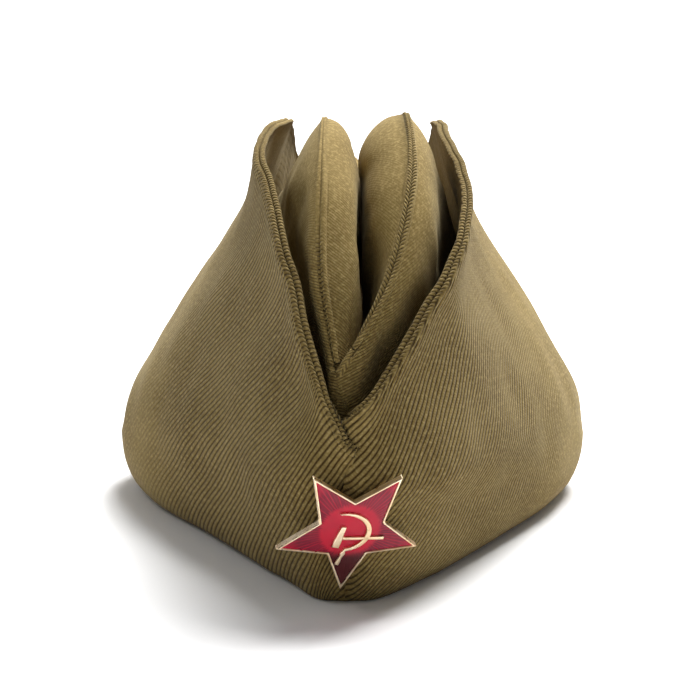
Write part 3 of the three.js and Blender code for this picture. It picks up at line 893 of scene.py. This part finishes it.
@dataclass(frozen=True)
class Signal:
    """One output of a shader node. A sum on it adds a Math node."""

    tree: bpy.types.NodeTree
    node: bpy.types.Node
    key: int | str = 0

    def __getitem__(self, key: int | str) -> "Signal":
        """Another output of the same node."""
        return Signal(self.tree, self.node, key)

    def maths(self, operation: str, other: object = 0.0) -> "Signal":
        """Add a Math node that takes this output first."""
        return wire(self.tree, "Math", operation=operation, s0=self, s1=other)

    def __add__(self, other: object) -> "Signal":
        """Add a value or another output."""
        return self.maths("ADD", other)

    def __mul__(self, other: object) -> "Signal":
        """Multiply by a value or another output."""
        return self.maths("MULTIPLY", other)

    def __sub__(self, other: object) -> "Signal":
        """Take away a value or another output."""
        return self.maths("SUBTRACT", other)

    def __rsub__(self, other: float) -> "Signal":
        """Take this output away from a value."""
        return wire(self.tree, "Math", operation="SUBTRACT", s0=other, s1=self)

    def __truediv__(self, other: object) -> "Signal":
        """Divide by a value or another output."""
        return self.maths("DIVIDE", other)

    def humps(self, power: float) -> "Signal":
        """Row of equal humps, one for each pi, with sharp valleys between them."""
        return self.maths("SINE").maths("ABSOLUTE").maths("POWER", power)

    def ramp(self, low: float, high: float, out_low: float = 0.0,
             out_high: float = 1.0) -> "Signal":
        """Ease this output from one range to another, held at its ends."""
        return wire(self.tree, "MapRange", interpolation_type="SMOOTHSTEP", s0=self, s1=low,
                    s2=high, s3=out_low, s4=out_high)

    def noise(self, scale: float, detail: float, roughness: float = 0.5,
              dimensions: str = "3D") -> "Signal":
        """Add noise that is read at this place."""
        return wire(self.tree, "TexNoise", noise_dimensions=dimensions, Vector=self, Scale=scale,
                    Detail=detail, Roughness=roughness)["Fac"]

    def parts(self) -> "Signal":
        """Split this place into x, y and z, by number."""
        return wire(self.tree, "SeparateXYZ", Vector=self)


def wire(tree: bpy.types.NodeTree, kind: str, **inputs: object) -> Signal:
    """Add a shader node and set or link its inputs.

    Args:
        tree: Node tree to add to.
        kind: Blender's node type without its first word.
        **inputs: Node settings by name, and sockets by name, with _ for a space, or as s0, s1 for
            sockets by number. A signal is linked, anything else is set as the socket's value.

    Returns:
        The node's first output.
    """
    node = tree.nodes.new("ShaderNode" + kind)
    for name, value in inputs.items():
        if name[0] == "s" and name[1:].isdigit():
            socket = node.inputs[int(name[1:])]
        elif hasattr(node, name):
            setattr(node, name, value)
            continue
        else:
            socket = node.inputs[name.replace("_", " ")]
        if isinstance(value, Signal):
            tree.links.new(value.node.outputs[value.key], socket)
        else:
            socket.default_value = value
    return Signal(tree, node)


def mixed(factor: Signal | float, a: Signal | Colour, b: Signal | Colour,
          mode: str = "MIX") -> Signal:
    """Mix two colours by a factor, in the tree of the last one that is a signal."""
    tree = next(s.tree for s in (b, a, factor) if isinstance(s, Signal))
    return wire(tree, "Mix", data_type="RGBA", blend_type=mode, s0=factor, s6=a, s7=b)[2]


def masked(mask: Signal, a: Signal, b: Signal) -> Signal:
    """Go from one value to another where a mask rises from 0 to 1."""
    return a * (1.0 - mask) + b * mask


def new_group(name: str, gives: dict[str, str], **takes: tuple[str, object]) -> Signal:
    """Start a shader node group.

    Args:
        name: Name of the group.
        gives: Output names with their socket type.
        **takes: Inputs by name, with their socket type and first value.

    Returns:
        The group's inputs.
    """
    group = bpy.data.node_groups.new(name, "ShaderNodeTree")
    for label, (kind, value) in takes.items():
        socket = group.interface.new_socket(label, in_out="INPUT", socket_type=kind)
        socket.default_value = value
    for label, kind in gives.items():
        group.interface.new_socket(label, in_out="OUTPUT", socket_type=kind)
    group.nodes.new("NodeGroupOutput")
    return Signal(group, group.nodes.new("NodeGroupInput"))


def close_group(**gives: Signal) -> bpy.types.NodeTree:
    """Link what a group gives.

    Args:
        **gives: The group's outputs by name.

    Returns:
        The group.
    """
    for name, signal in gives.items():
        group = signal.tree
        group.links.new(signal.node.outputs[signal.key], group.nodes["Group Output"].inputs[name])
    return group


def new_material(name: str) -> bpy.types.Material:
    """Start a material with an empty node tree.

    Args:
        name: Name of the material.

    Returns:
        The material.
    """
    made = bpy.data.materials.new(name)
    made.use_nodes = True
    made.node_tree.nodes.clear()
    return made


def surface(tree: bpy.types.NodeTree, **inputs: object) -> None:
    """Add the surface's shader with its inputs, and the material's output."""
    wire(tree, "OutputMaterial", Surface=wire(tree, "BsdfPrincipled", **inputs))


class ClothGroups:
    """Shader node groups that the cloth pieces share, read in millimetres of flat cloth."""

    @staticmethod
    def twill() -> bpy.types.NodeTree:
        """Ribs of the twill and the yarns that cross them.

        Returns:
            Group with the inputs Cloth, Angle and Pitch, and outputs for the height and for a mask
            of painted shade in the hollows between the ribs.
        """
        taken = new_group("twill ribs", {"Height": FLOAT, "Groove": FLOAT},
                          Cloth=(VECTOR, (0, 0, 0)), Angle=(FLOAT, 0.9), Pitch=(FLOAT, 1.0))
        cloth, angle = taken["Cloth"], taken["Angle"]
        wander, wobble, fuzz = (cloth.noise(scale, detail, dimensions="2D")
                                for scale, detail in ((0.022, 1.0), (0.45, 1.0), (3.0, 3.0)))
        parts, sine, cosine = cloth.parts(), angle.maths("SINE"), angle.maths("COSINE")
        # Ribs wander by up to 0.9 mm over long runs and 0.22 mm over short ones
        across = parts[0] * sine - parts[1] * cosine + wander * 0.9 + wobble * 0.22
        length = parts[0] * cosine + parts[1] * sine
        turns = across / taken["Pitch"]
        rib = (turns * math.pi).humps(0.8)
        # Yarns cross each rib every 0.7 mm, a little further on from rib to rib
        beat = length * (2 * math.pi / 0.7) + turns.maths("FLOOR") * 2.4
        yarn = beat.maths("SINE") * 0.5 + 0.5
        # The groove mask is painted shade in the hollows between the ribs
        return close_group(Height=yarn * 0.16 + rib + fuzz * 0.25, Groove=rib.ramp(0.92, 0.30))

    @staticmethod
    def worked_edge() -> bpy.types.NodeTree:
        """Ribs that wrap over a folded edge, seen as a row of beads beside its groove.

        Returns:
            Group with the inputs Edge, Twist and Width, and outputs for the lip, the height and a
            mask of painted shade in the hollows between the beads.
        """
        taken = new_group("worked edge", {"Lip": FLOAT, "Height": FLOAT, "Groove": FLOAT},
                          Edge=(VECTOR, (0, 0, 0)), Twist=(FLOAT, 0.5), Width=(FLOAT, 2.4))
        parts, uneven = taken["Edge"].parts(), taken["Edge"].noise(0.5, 2.0, dimensions="2D")
        past = (parts[1].maths("ABSOLUTE") / taken["Width"]).ramp(0.8, 1.15)
        run = parts[0] + parts[1] * taken["Twist"] + uneven * 0.5
        bead = (run * (math.pi / 1.15)).humps(0.7)
        # The groove mask is painted shade in the hollows between the beads
        return close_group(Lip=1.0 - past, Height=bead, Groove=bead.ramp(0.8, 0.2))

    @staticmethod
    def dye() -> bpy.types.NodeTree:
        """Uneven dye and rubbed patches of cloth that has been worn.

        Returns:
            Group with the inputs Cloth, Deep, Mid and Pale and the outputs Color and Patch.
        """
        taken = new_group("uneven dye", {"Color": COLOUR, "Patch": FLOAT},
                          Cloth=(VECTOR, (0, 0, 0)), Deep=(COLOUR, (0.1, 0.08, 0.04, 1)),
                          Mid=(COLOUR, (0.2, 0.16, 0.08, 1)), Pale=(COLOUR, (0.3, 0.25, 0.14, 1)))
        large = taken["Cloth"].noise(0.035, 4.0, 0.6, "2D")
        small = taken["Cloth"].noise(0.9, 4.0, 0.7, "2D")
        low = mixed(large.ramp(0.3, 0.7), taken["Deep"], taken["Mid"])
        return close_group(Color=mixed(small.ramp(0.42, 0.72), low, taken["Pale"]), Patch=large)


@dataclass(frozen=True)
class TwillFinish:
    """Olive khaki cotton twill with ribs in one direction and beads along its worked edge.

    Ribs fade to the share worn of their depth, and beads to the share beads_left, over a range of
    millimetres of cloth from the front seam. The groove colour is painted shade: it is multiplied
    into the dye in the hollows between the ribs and between the beads, and bright lightens the rib
    tops, as painted light where it is above one.
    """

    name: str
    wale: Wale
    twist: float = 0.5
    lip_mm: float = 2.3
    deep: Colour = (0.152, 0.102, 0.031, 1)
    mid: Colour = (0.204, 0.143, 0.046, 1)
    pale: Colour = (0.287, 0.210, 0.078, 1)
    # Painted shade, towards which the hollows between ribs and beads are darkened
    groove: Colour = (0.26, 0.225, 0.17, 1)
    pitch: float = 1.3
    relief_mm: float = 0.30
    bead_height: float = 1.5
    depth: float = 1.0
    worn: float = 0.22
    fade: tuple[float, float] = (60.0, 95.0)
    beaded: tuple[float, float] = (70.0, 95.0)
    beads_left: float = 0.15
    # Lightens the rib tops; above one, as on the crown, it is painted light
    bright: float = 1.0
    rough: tuple[float, float] = (0.96, 0.84)
    sheen: float = 0.12
    sheen_rough: float = 0.4
    sheen_tint: Colour = (0.9, 0.78, 0.5, 1)
    specular: float = 0.15

    def material(self, groups: dict[str, bpy.types.NodeTree]) -> bpy.types.Material:
        """Make the material.

        Args:
            groups: Node groups of the cloth by name: twill, worked_edge and dye.

        Returns:
            The material.
        """
        made = new_material(self.name)
        tree = made.node_tree
        cloth, edge = (wire(tree, "UVMap", uv_map=name) for name in ("cloth", "edge"))
        ribs = wire(tree, "Group", node_tree=groups["twill"], Cloth=cloth,
                    Angle=math.radians(self.wale.value), Pitch=self.pitch)
        fold = wire(tree, "Group", node_tree=groups["worked_edge"], Edge=edge, Twist=self.twist,
                    Width=self.lip_mm)
        dye = wire(tree, "Group", node_tree=groups["dye"], Cloth=cloth, Deep=self.deep,
                   Mid=self.mid, Pale=self.pale)
        run = cloth.parts()[0].maths("ABSOLUTE")
        depth = run.ramp(*self.fade, self.depth, self.depth * self.worn)
        beads = run.ramp(*self.beaded, 1.0, self.beads_left)
        # Painted shade: the rib and bead hollows are darkened towards the groove colour
        gap = masked(fold["Lip"], ribs["Groove"] * depth, fold["Groove"] * beads)
        height = masked(fold["Lip"], ribs["Height"] * depth,
                        fold["Height"] * beads * self.bead_height)
        # Rib tops are lightened by bright, painted light where it is above one
        top = (self.bright, self.bright, self.bright, 1)
        surface(tree, Base_Color=mixed(1.0, dye["Color"], mixed(gap, top, self.groove), "MULTIPLY"),
                Roughness=dye["Patch"].ramp(0.2, 0.8, *self.rough),
                Normal=wire(tree, "Bump", Strength=1.0, Distance=self.relief_mm * MM,
                            Height=height),
                Sheen_Weight=self.sheen, Sheen_Roughness=self.sheen_rough,
                Sheen_Tint=self.sheen_tint, Specular_IOR_Level=self.specular)
        return made


@dataclass(frozen=True)
class GiltFinish:
    """Pale polished gilt with fine handling marks."""

    name: str = "polished gilt"
    colour: Colour = (1.0, 0.82, 0.58, 1)
    dull: Colour = (0.80, 0.56, 0.32, 1)
    rough: tuple[float, float] = (0.24, 0.36)

    def material(self) -> bpy.types.Material:
        """Make the material.

        Returns:
            The material.
        """
        made = new_material(self.name)
        tree = made.node_tree
        place = wire(tree, "TexCoord")["Object"]
        cloud, marks = place.noise(160.0, 2.0), place.noise(400.0, 1.0)
        surface(tree, Base_Color=mixed(cloud.ramp(0.35, 0.75), self.colour, self.dull),
                Roughness=marks.ramp(0.2, 0.8, *self.rough),
                Normal=wire(tree, "Bump", Strength=0.1, Distance=0.02 * MM, Height=marks),
                Metallic=1.0)
        return made


@dataclass(frozen=True)
class EnamelFinish:
    """Translucent red enamel over engraved rays, deeper towards the star's edges.

    The arms' ranges are distances from the star's centre in millimetres, within which the deeper
    red starts and ends, and foot is the range below it over which the lowest arm is darkened as a
    painted reflection.
    """

    name: str = "red enamel"
    bright: Colour = (0.53, 0.014, 0.037, 1)
    deep: Colour = (0.15, 0.012, 0.028, 1)
    painted_dark_reflection: Colour = (0.070, 0.010, 0.012, 1)
    rays: float = 84.0
    arms_start: tuple[float, float] = (7.5, 8.7)
    arms_end: tuple[float, float] = (17.5, 12.0)
    foot: tuple[float, float] = (-5.5, -8.5)
    cut_strength: float = 0.62
    rough: tuple[float, float] = (0.10, 0.22)

    def material(self) -> bpy.types.Material:
        """Make the material.

        Returns:
            The material.
        """
        made = new_material(self.name)
        tree = made.node_tree
        spot = wire(tree, "UVMap", uv_map="star")
        parts = spot.parts()
        reach = (parts[0] * parts[0] + parts[1] * parts[1]).maths("SQRT")
        angle = parts[1].maths("ARCTAN2", parts[0])
        streak = wire(tree, "TexNoise", noise_dimensions="1D", W=angle, Scale=14.0,
                      Detail=3.0)["Fac"]
        arms = (reach + streak * 1.6).ramp(*self.arms_start) * reach.ramp(*self.arms_end)
        rays = (angle * self.rays).maths("SINE").ramp(0.1, 0.9)
        cut = rays * arms * streak.ramp(0.36, 0.56)
        cloud = spot.noise(0.20, 2.0)
        base = mixed(arms * 0.8 + cloud.ramp(0.35, 0.7) * 0.18, self.bright, self.deep)
        base = mixed(cut * self.cut_strength, base, self.bright)
        # Painted reflection: the lowest arm is darkened below the centre
        surface(tree, Base_Color=mixed(parts[1].ramp(*self.foot), base, self.painted_dark_reflection),
                Roughness=cloud.ramp(0.2, 0.8, *self.rough),
                Normal=wire(tree, "Bump", Strength=0.5, Distance=0.08 * MM, Height=cut),
                Coat_Weight=0.12, Coat_Roughness=0.05, Specular_IOR_Level=0.22)
        return made


def dress(thing: bpy.types.Object, finish: bpy.types.Material, slot: str,
          *nodes: str) -> bpy.types.Object:
    """Give a piece its material, hang it under the root and hide the solids that it replaces.

    Args:
        thing: The piece.
        finish: Its material.
        slot: Not used.
        *nodes: The solids that it replaces.

    Returns:
        The piece.
    """
    thing.data.materials.clear()
    thing.data.materials.append(finish)
    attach(thing, "root")
    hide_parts(*nodes)
    LOG.info("%s: %d faces", thing.name, len(thing.data.polygons))
    return thing


@dataclass
class Cap:
    """Cloth of the cap.

    crown holds the crown panels' finish: finer ribs that fade sooner, and a colour lightened as
    painted light, so that the crown looks more lit than the flaps.
    """

    right: HalfCap = field(default_factory=lambda: HalfCap(Side.RIGHT, RIGHT_STATIONS))
    left: HalfCap = field(default_factory=lambda: HalfCap(Side.LEFT, LEFT_STATIONS))
    # bright of 1.22 is painted light that makes the crown panels look more lit
    crown: dict[str, object] = field(default_factory=lambda: {
        "lip_mm": 1.7, "pitch": 0.68, "depth": 0.6, "worn": 0.15, "fade": (12.0, 55.0),
        "bright": 1.22})

    def build(self) -> list[bpy.types.Object]:
        """Make and dress every cloth piece.

        Returns:
            The pieces.
        """
        groups = {"twill": ClothGroups.twill(), "worked_edge": ClothGroups.worked_edge(),
                  "dye": ClothGroups.dye()}
        made = []
        # Twist and fading of the beads on the ridge seam, and pitch of the flap's ribs
        for half, twist, pitch, beaded in ((self.right, 0.75, 1.2, (110.0, 140.0)),
                                           (self.left, 0.15, 1.34, (27.0, 38.0))):
            word = half.word()
            flap_wale, *crown_wales = (Wale[f"{part}_{word.upper()}"]
                                       for part in ("FLAP", "CROWN", "TUCK"))
            flap = TwillFinish(f"flap twill {word}", flap_wale, 0.55, pitch=pitch)
            side, tuck = (TwillFinish(f"{part} twill {word}", wale, twist, beaded=beaded,
                                      **self.crown)
                          for part, wale in zip(("crown", "tuck"), crown_wales))
            panel, face = CrownSide(half), CrownTuck(half)
            skin, inner = panel.skin(), face.skin()
            for piece, finish, node in (
                    (Flap(half).build(), flap, f"flap_{word}"),
                    (panel.build(skin, climbing(inner)), side, f"crown_{word}"),
                    (face.build(inner, climbing(skin)), tuck, "crown_tuck")):
                made.append(dress(piece, finish.material(groups), "twill", node))
        return made


def turn_about(axis: int, degrees: float) -> np.ndarray:
    """Work out the matrix of a turn about one axis.

    Args:
        axis: 0 for x, 1 for y and 2 for z.
        degrees: How far it turns.

    Returns:
        The matrix, which takes points as columns.
    """
    first, second = (axis + 1) % 3, (axis + 2) % 3
    cosine, sine = math.cos(math.radians(degrees)), math.sin(math.radians(degrees))
    turn = np.eye(3)
    turn[first, first] = turn[second, second] = cosine
    turn[first, second], turn[second, first] = -sine, sine
    return turn


@dataclass
class StarBadge:
    """Enamelled star with one point down and a raised hammer and sickle.

    Lengths are in millimetres and turns in degrees. tip_shift and notch_shift move the star's
    points and notches in its plane, because the real one is a little uneven. dome holds the loops
    of the enamel, as their share of its outline and their depth below the star's front. The figure
    stands up by relief from a foot sunk below that front.
    """

    radius: float = 18.0
    waist: float = 8.2
    rim: float = 0.45
    thickness: float = 1.8
    centre: tuple[float, float, float] = (1.1, -131.5, 22.0)
    tilt: float = 22.7
    turn: float = 14.0
    roll: float = 2.8
    tip_shift: tuple[float, float] = (0.0, 0.35)
    notch_shift: tuple[float, float] = (0.25, -0.40)
    dome: tuple[tuple[float, float], ...] = (
        (1.0, 1.10), (1.0, 0.42), (0.985, 0.30), (0.95, 0.20), (0.85, 0.14), (0.7, 0.11),
        (0.5, 0.08), (0.3, 0.06), (0.12, 0.05))
    relief: float = 0.8
    shoulder: float = 0.22
    sunk: float = 0.2

    def axes(self) -> np.ndarray:
        """Badge axes as rows: right, up and out of its face."""
        whole = turn_about(2, self.turn) @ turn_about(0, self.tilt) @ turn_about(1, self.roll)
        return np.array([whole @ [1, 0, 0], whole @ [0, 0, 1], whole @ [0, -1, 0]])

    def outline(self, inset: float, height: float, round_off: float = 0.35) -> np.ndarray:
        """Star outline moved inwards, with its corners a little rounded.

        Args:
            inset: How far inwards.
            height: Height out of the badge's back.
            round_off: How far from each corner the rounding starts.

        Returns:
            Points shaped (50, 3).
        """
        angle = -math.pi / 2 + np.arange(10) * math.pi / 5
        reach = np.where(np.arange(10) % 2 == 0, self.radius, self.waist)
        corner = np.stack([reach * np.cos(angle), reach * np.sin(angle)], -1)
        corner += np.where(np.arange(10)[:, None] % 2 == 0, self.tip_shift, self.notch_shift)
        before = unit(corner - np.roll(corner, 1, 0))
        after = unit(np.roll(corner, -1, 0) - corner)
        in_before = np.stack([-before[:, 1], before[:, 0]], -1)
        in_after = np.stack([-after[:, 1], after[:, 0]], -1)
        mid = in_before + in_after
        moved = corner + mid * inset / (1 + (in_before * in_after).sum(-1, keepdims=True))
        rounded = []
        for point, back, on in zip(moved, before, after):
            a, b = point - back * round_off, point + on * round_off
            for t in np.linspace(0, 1, 5):
                rounded.append((1 - t) ** 2 * a + 2 * t * (1 - t) * point + t * t * b)
        flat = np.array(rounded)
        return np.concatenate([flat, np.full((len(flat), 1), height)], axis=1)

    def mesh(self, name: str, flat: np.ndarray, faces: list[tuple[int, ...]]) -> bpy.types.Object:
        """Put a mesh into the badge's place.

        Args:
            name: Name of the piece.
            flat: Points as steps right, up and out of the badge's face, shaped (points, 3).
            faces: Each face as the numbers of its points.

        Returns:
            The mesh object.
        """
        points = (flat @ self.axes() + np.array(self.centre) + CAD_SHIFT) * MM
        mesh = bpy.data.meshes.new(name)
        mesh.from_pydata(points.tolist(), [], faces)
        mesh.update()
        return put_in_scene(name, mesh)

    def stack(self, name: str, loops: list[np.ndarray], mapped: bool = False) -> bpy.types.Object:
        """Make a closed mesh from a stack of loops with the same number of points.

        Args:
            name: Name of the piece.
            loops: Loops from the back to the front, shaped (points, 3).
            mapped: Whether to keep the steps right and up as the UV map star.

        Returns:
            The mesh object.
        """
        count = len(loops[0])
        top = (len(loops) - 1) * count
        flat = np.concatenate([*loops, loops[0].mean(0)[None], loops[-1].mean(0)[None]])
        first, last = len(flat) - 2, len(flat) - 1
        ring = [(i, (i + 1) % count) for i in range(count)]
        faces = [(low + i, low + j, low + count + j, low + count + i)
                 for low in range(0, top, count) for i, j in ring]
        for i, j in ring:
            faces += [(j, i, first), (top + i, top + j, last)]
        thing = self.mesh(name, flat, faces)
        if mapped:
            layer = thing.data.uv_layers.new(name="star")
            for loop in thing.data.loops:
                layer.data[loop.index].uv = flat[loop.vertex_index][:2]
        return thing

    def star(self) -> bpy.types.Object:
        """Make the star's gilt tray with its raised rim.

        Returns:
            The tray.
        """
        steps = ((0.25, 0.0), (0.0, 0.25), (0.0, self.thickness - 0.25),
                 (0.14, self.thickness - 0.04), (0.3, self.thickness),
                 (self.rim, self.thickness - 0.1), (self.rim + 0.05, 0.7))
        return self.stack("badge_gilt_star", [self.outline(*step) for step in steps])

    def enamel(self) -> bpy.types.Object:
        """Make the softly domed red field of the star.

        Returns:
            The field, with its steps right and up as the UV map star.
        """
        edge = self.outline(self.rim - 0.02, 0.0)
        loops = []
        for share, depth in self.dome:
            loop = edge * share
            loop[:, 2] = self.thickness - depth
            loops.append(loop)
        return self.stack("badge_red_enamel", loops, mapped=True)

    def raised(self, name: str, outlines: list[np.ndarray]) -> bpy.types.Object:
        """Make flat outlines into rounded relief.

        Args:
            name: Name of the piece.
            outlines: Closed outlines, shaped (points, 2), joined into one piece.

        Returns:
            The mesh object.
        """
        vertices, faces = [], []
        for number, outline in enumerate(outlines):
            curve = bpy.data.curves.new(f"{name}_{number}", "CURVE")
            curve.dimensions = "2D"
            curve.fill_mode = "BOTH"
            curve.extrude = max(self.relief / 2 - self.shoulder, 0.01)
            curve.bevel_depth = self.shoulder
            curve.bevel_resolution = 3
            curve.offset = -self.shoulder
            spline = curve.splines.new("POLY")
            spline.points.add(len(outline) - 1)
            spline.points.foreach_set("co", np.concatenate(
                [outline, np.zeros((len(outline), 1)), np.ones((len(outline), 1))], axis=1).ravel())
            spline.use_cyclic_u = True
            helper = put_in_scene(curve.name, curve)
            solid = bpy.data.meshes.new_from_object(helper.evaluated_get(
                bpy.context.evaluated_depsgraph_get()))
            start = len(vertices)
            vertices += [tuple(v.co) for v in solid.vertices]
            faces += [tuple(start + i for i in p.vertices) for p in solid.polygons]
            bpy.data.objects.remove(helper)
            bpy.data.curves.remove(curve)
            bpy.data.meshes.remove(solid)
        flat = np.array(vertices)
        flat[:, 2] += self.thickness - self.sunk + self.relief / 2
        return self.mesh(name, flat, faces)

    @staticmethod
    def rounded_bar(start: tuple[float, float], length: float, widths: tuple[float, ...],
                    degrees: float) -> np.ndarray:
        """Bar with a changing width.

        Args:
            start: Middle of its near end.
            length: Length.
            widths: Widths at even steps from the near end to the far end.
            degrees: Its direction.

        Returns:
            Outline points shaped (points, 2).
        """
        along = np.linspace(0, length, len(widths))
        half = np.array(widths) / 2
        bar = np.concatenate([np.stack([along, -half], -1), np.stack([along, half], -1)[::-1]])
        c, s = math.cos(math.radians(degrees)), math.sin(math.radians(degrees))
        return bar @ np.array([[c, s], [-s, c]]) + np.array(start)

    def emblem(self) -> bpy.types.Object:
        """Make the raised hammer and sickle.

        Returns:
            The figure.
        """
        share = np.linspace(0, 1, 40)
        angle = np.radians(107 + (-84 - 107) * share)
        width = 1.25 * np.sin(math.pi * (0.1 + 0.7 * share))
        width[:3] *= np.array([0.35, 0.6, 0.85])
        centre, radii = np.array([-1.2, -0.2]), np.array([6.3, 5.5])
        ray = np.stack([np.cos(angle), np.sin(angle)], -1)
        outer = centre + ray * radii
        inner = centre + ray * (radii - width[:, None])
        blade = np.concatenate([outer, inner[::-1]])
        heel = (outer[-1] + inner[-1]) / 2
        handle = self.rounded_bar((heel[0], heel[1] + 0.3), 5.0,
                                  (0.5, 0.55, 1.25, 0.75, 0.6, 0.8, 0.95, 0.9), 252)
        shaft = self.rounded_bar((-1.6, -2.0), 9.9, (0.78, 0.8, 0.82), 0)
        head = self.rounded_bar((-3.1, -4.6), 6.1, (1.85, 1.8, 1.6, 1.35, 1.15), 76.5)
        return self.raised("badge_hammer_and_sickle", [blade[::-1], handle, shaft, head])

    def build(self) -> list[bpy.types.Object]:
        """Make and dress the badge.

        Returns:
            The badge's pieces.
        """
        gilt, red = GiltFinish().material(), EnamelFinish().material()
        made = [
            dress(self.star(), gilt, "gilt", "badge_star"),
            dress(self.enamel(), red, "enamel", "badge_enamel"),
            dress(self.emblem(), gilt, "gilt", "badge_emblem"),
        ]
        for piece in made[1:]:
            piece.data.polygons.foreach_set("use_smooth", [True] * len(piece.data.polygons))
        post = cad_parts["badge_post"]
        post.data.materials.clear()
        post.data.materials.append(gilt)
        return made


def look(thing: bpy.types.Object, place: Vector, direction: Vector) -> None:
    """Put a light or the camera in its place and turn it.

    Args:
        thing: The light or camera.
        place: Where it stands, in metres.
        direction: Direction in which it looks.
    """
    thing.location = place
    thing.rotation_mode = "QUATERNION"
    thing.rotation_quaternion = direction.to_track_quat("-Z", "Y")


@dataclass(frozen=True)
class Softbox:
    """Soft square light that looks at the cap, in metres and watts."""

    name: str
    place: tuple[float, float, float]
    size: float
    power: float
    aim: tuple[float, float, float] = (0, 0, 0.05)

    def hang(self) -> None:
        """Hang the light."""
        data = bpy.data.lights.new(self.name, "AREA")
        data.size = self.size
        data.energy = self.power
        look(put_in_scene(self.name, data), Vector(self.place),
             Vector(self.aim) - Vector(self.place))


@dataclass
class Studio:
    """Plain pale floor that sweeps up behind the cap, soft lights and the camera.

    Lengths are in metres, except the camera's place, which is in the curves' millimetres.
    """

    reach: float = 3.0
    bend: float = 0.9
    flat_behind: float = 0.3
    height: float = 3.0
    pale: float = 0.93
    glow: float = 0.55
    glow_range: tuple[float, float] = (0.25, 1.1)
    lights: tuple[Softbox, ...] = (
        Softbox("overhead", (0.3, 0.55, 1.25), 0.8, 49.0),
        Softbox("right", (1.2, -0.3, 0.7), 0.6, 0.3),
        Softbox("left", (-0.75, -0.4, 1.0), 0.5, 1.8),
    )
    sky: float = 0.178
    lens: float = 84.65
    eye: tuple[float, float, float] = (9.28, -505.9, 123.06)
    sight: tuple[float, float, float] = (-0.02068, 0.98747, -0.15643)

    def floor(self) -> bpy.types.Object:
        """Make the floor and its sweep.

        Returns:
            The floor, staged.
        """
        path = [(-self.reach, 0.0), (self.bend + self.flat_behind, 0.0)]
        for turn in np.linspace(0, math.pi / 2, 14)[1:]:
            path.append((self.bend * (1 + math.sin(turn)) + self.flat_behind,
                         self.bend * (1 - math.cos(turn))))
        path.append((2 * self.bend + self.flat_behind, self.height))
        points = [(x, y, z) for y, z in path for x in (-self.reach, self.reach)]
        faces = [(2 * i, 2 * i + 1, 2 * i + 3, 2 * i + 2) for i in range(len(path) - 1)]
        mesh = bpy.data.meshes.new("studio_floor")
        mesh.from_pydata(points, [], faces)
        mesh.polygons.foreach_set("use_smooth", [True] * len(faces))
        thing = put_in_scene("studio_floor", mesh)
        made = new_material("pale floor")
        away = wire(made.node_tree, "TexCoord")["Object"].parts()[1]
        glow = mixed(away.ramp(*self.glow_range), (0, 0, 0, 1), (*[self.glow] * 3, 1))
        surface(made.node_tree, Base_Color=(*[self.pale] * 3, 1), Roughness=0.8,
                Emission_Color=glow, Emission_Strength=1.0)
        mesh.materials.append(made)
        return thing

    def camera(self) -> None:
        """Set the camera at the photograph's place."""
        data = bpy.data.cameras.new("camera")
        data.lens = self.lens
        data.sensor_width = 36.0
        data.clip_start = 0.01
        thing = put_in_scene("camera", data)
        look(thing, Vector((np.array(self.eye) + CAD_SHIFT) * MM), Vector(self.sight))
        bpy.context.scene.camera = thing

    def build(self) -> None:
        """Make the whole studio."""
        self.camera()
        self.floor()
        for box in self.lights:
            box.hang()
        world = bpy.data.worlds.new("studio")
        world.use_nodes = True
        sky = world.node_tree.nodes["Background"].inputs
        sky[0].default_value = (1, 1, 1, 1)
        sky[1].default_value = self.sky
        bpy.context.scene.world = world
        bpy.context.scene.view_settings.view_transform = "Standard"


def main() -> None:
    """Build the cap, its badge and the studio, and log how many pieces were made."""
    logging.basicConfig(level=logging.INFO, format="%(name)s: %(message)s")
    Studio().build()
    cloth = Cap().build()
    badge = StarBadge().build()
    LOG.info("%d cloth pieces, %d badge pieces", len(cloth), len(badge))


if __name__ == "__main__":
    main()
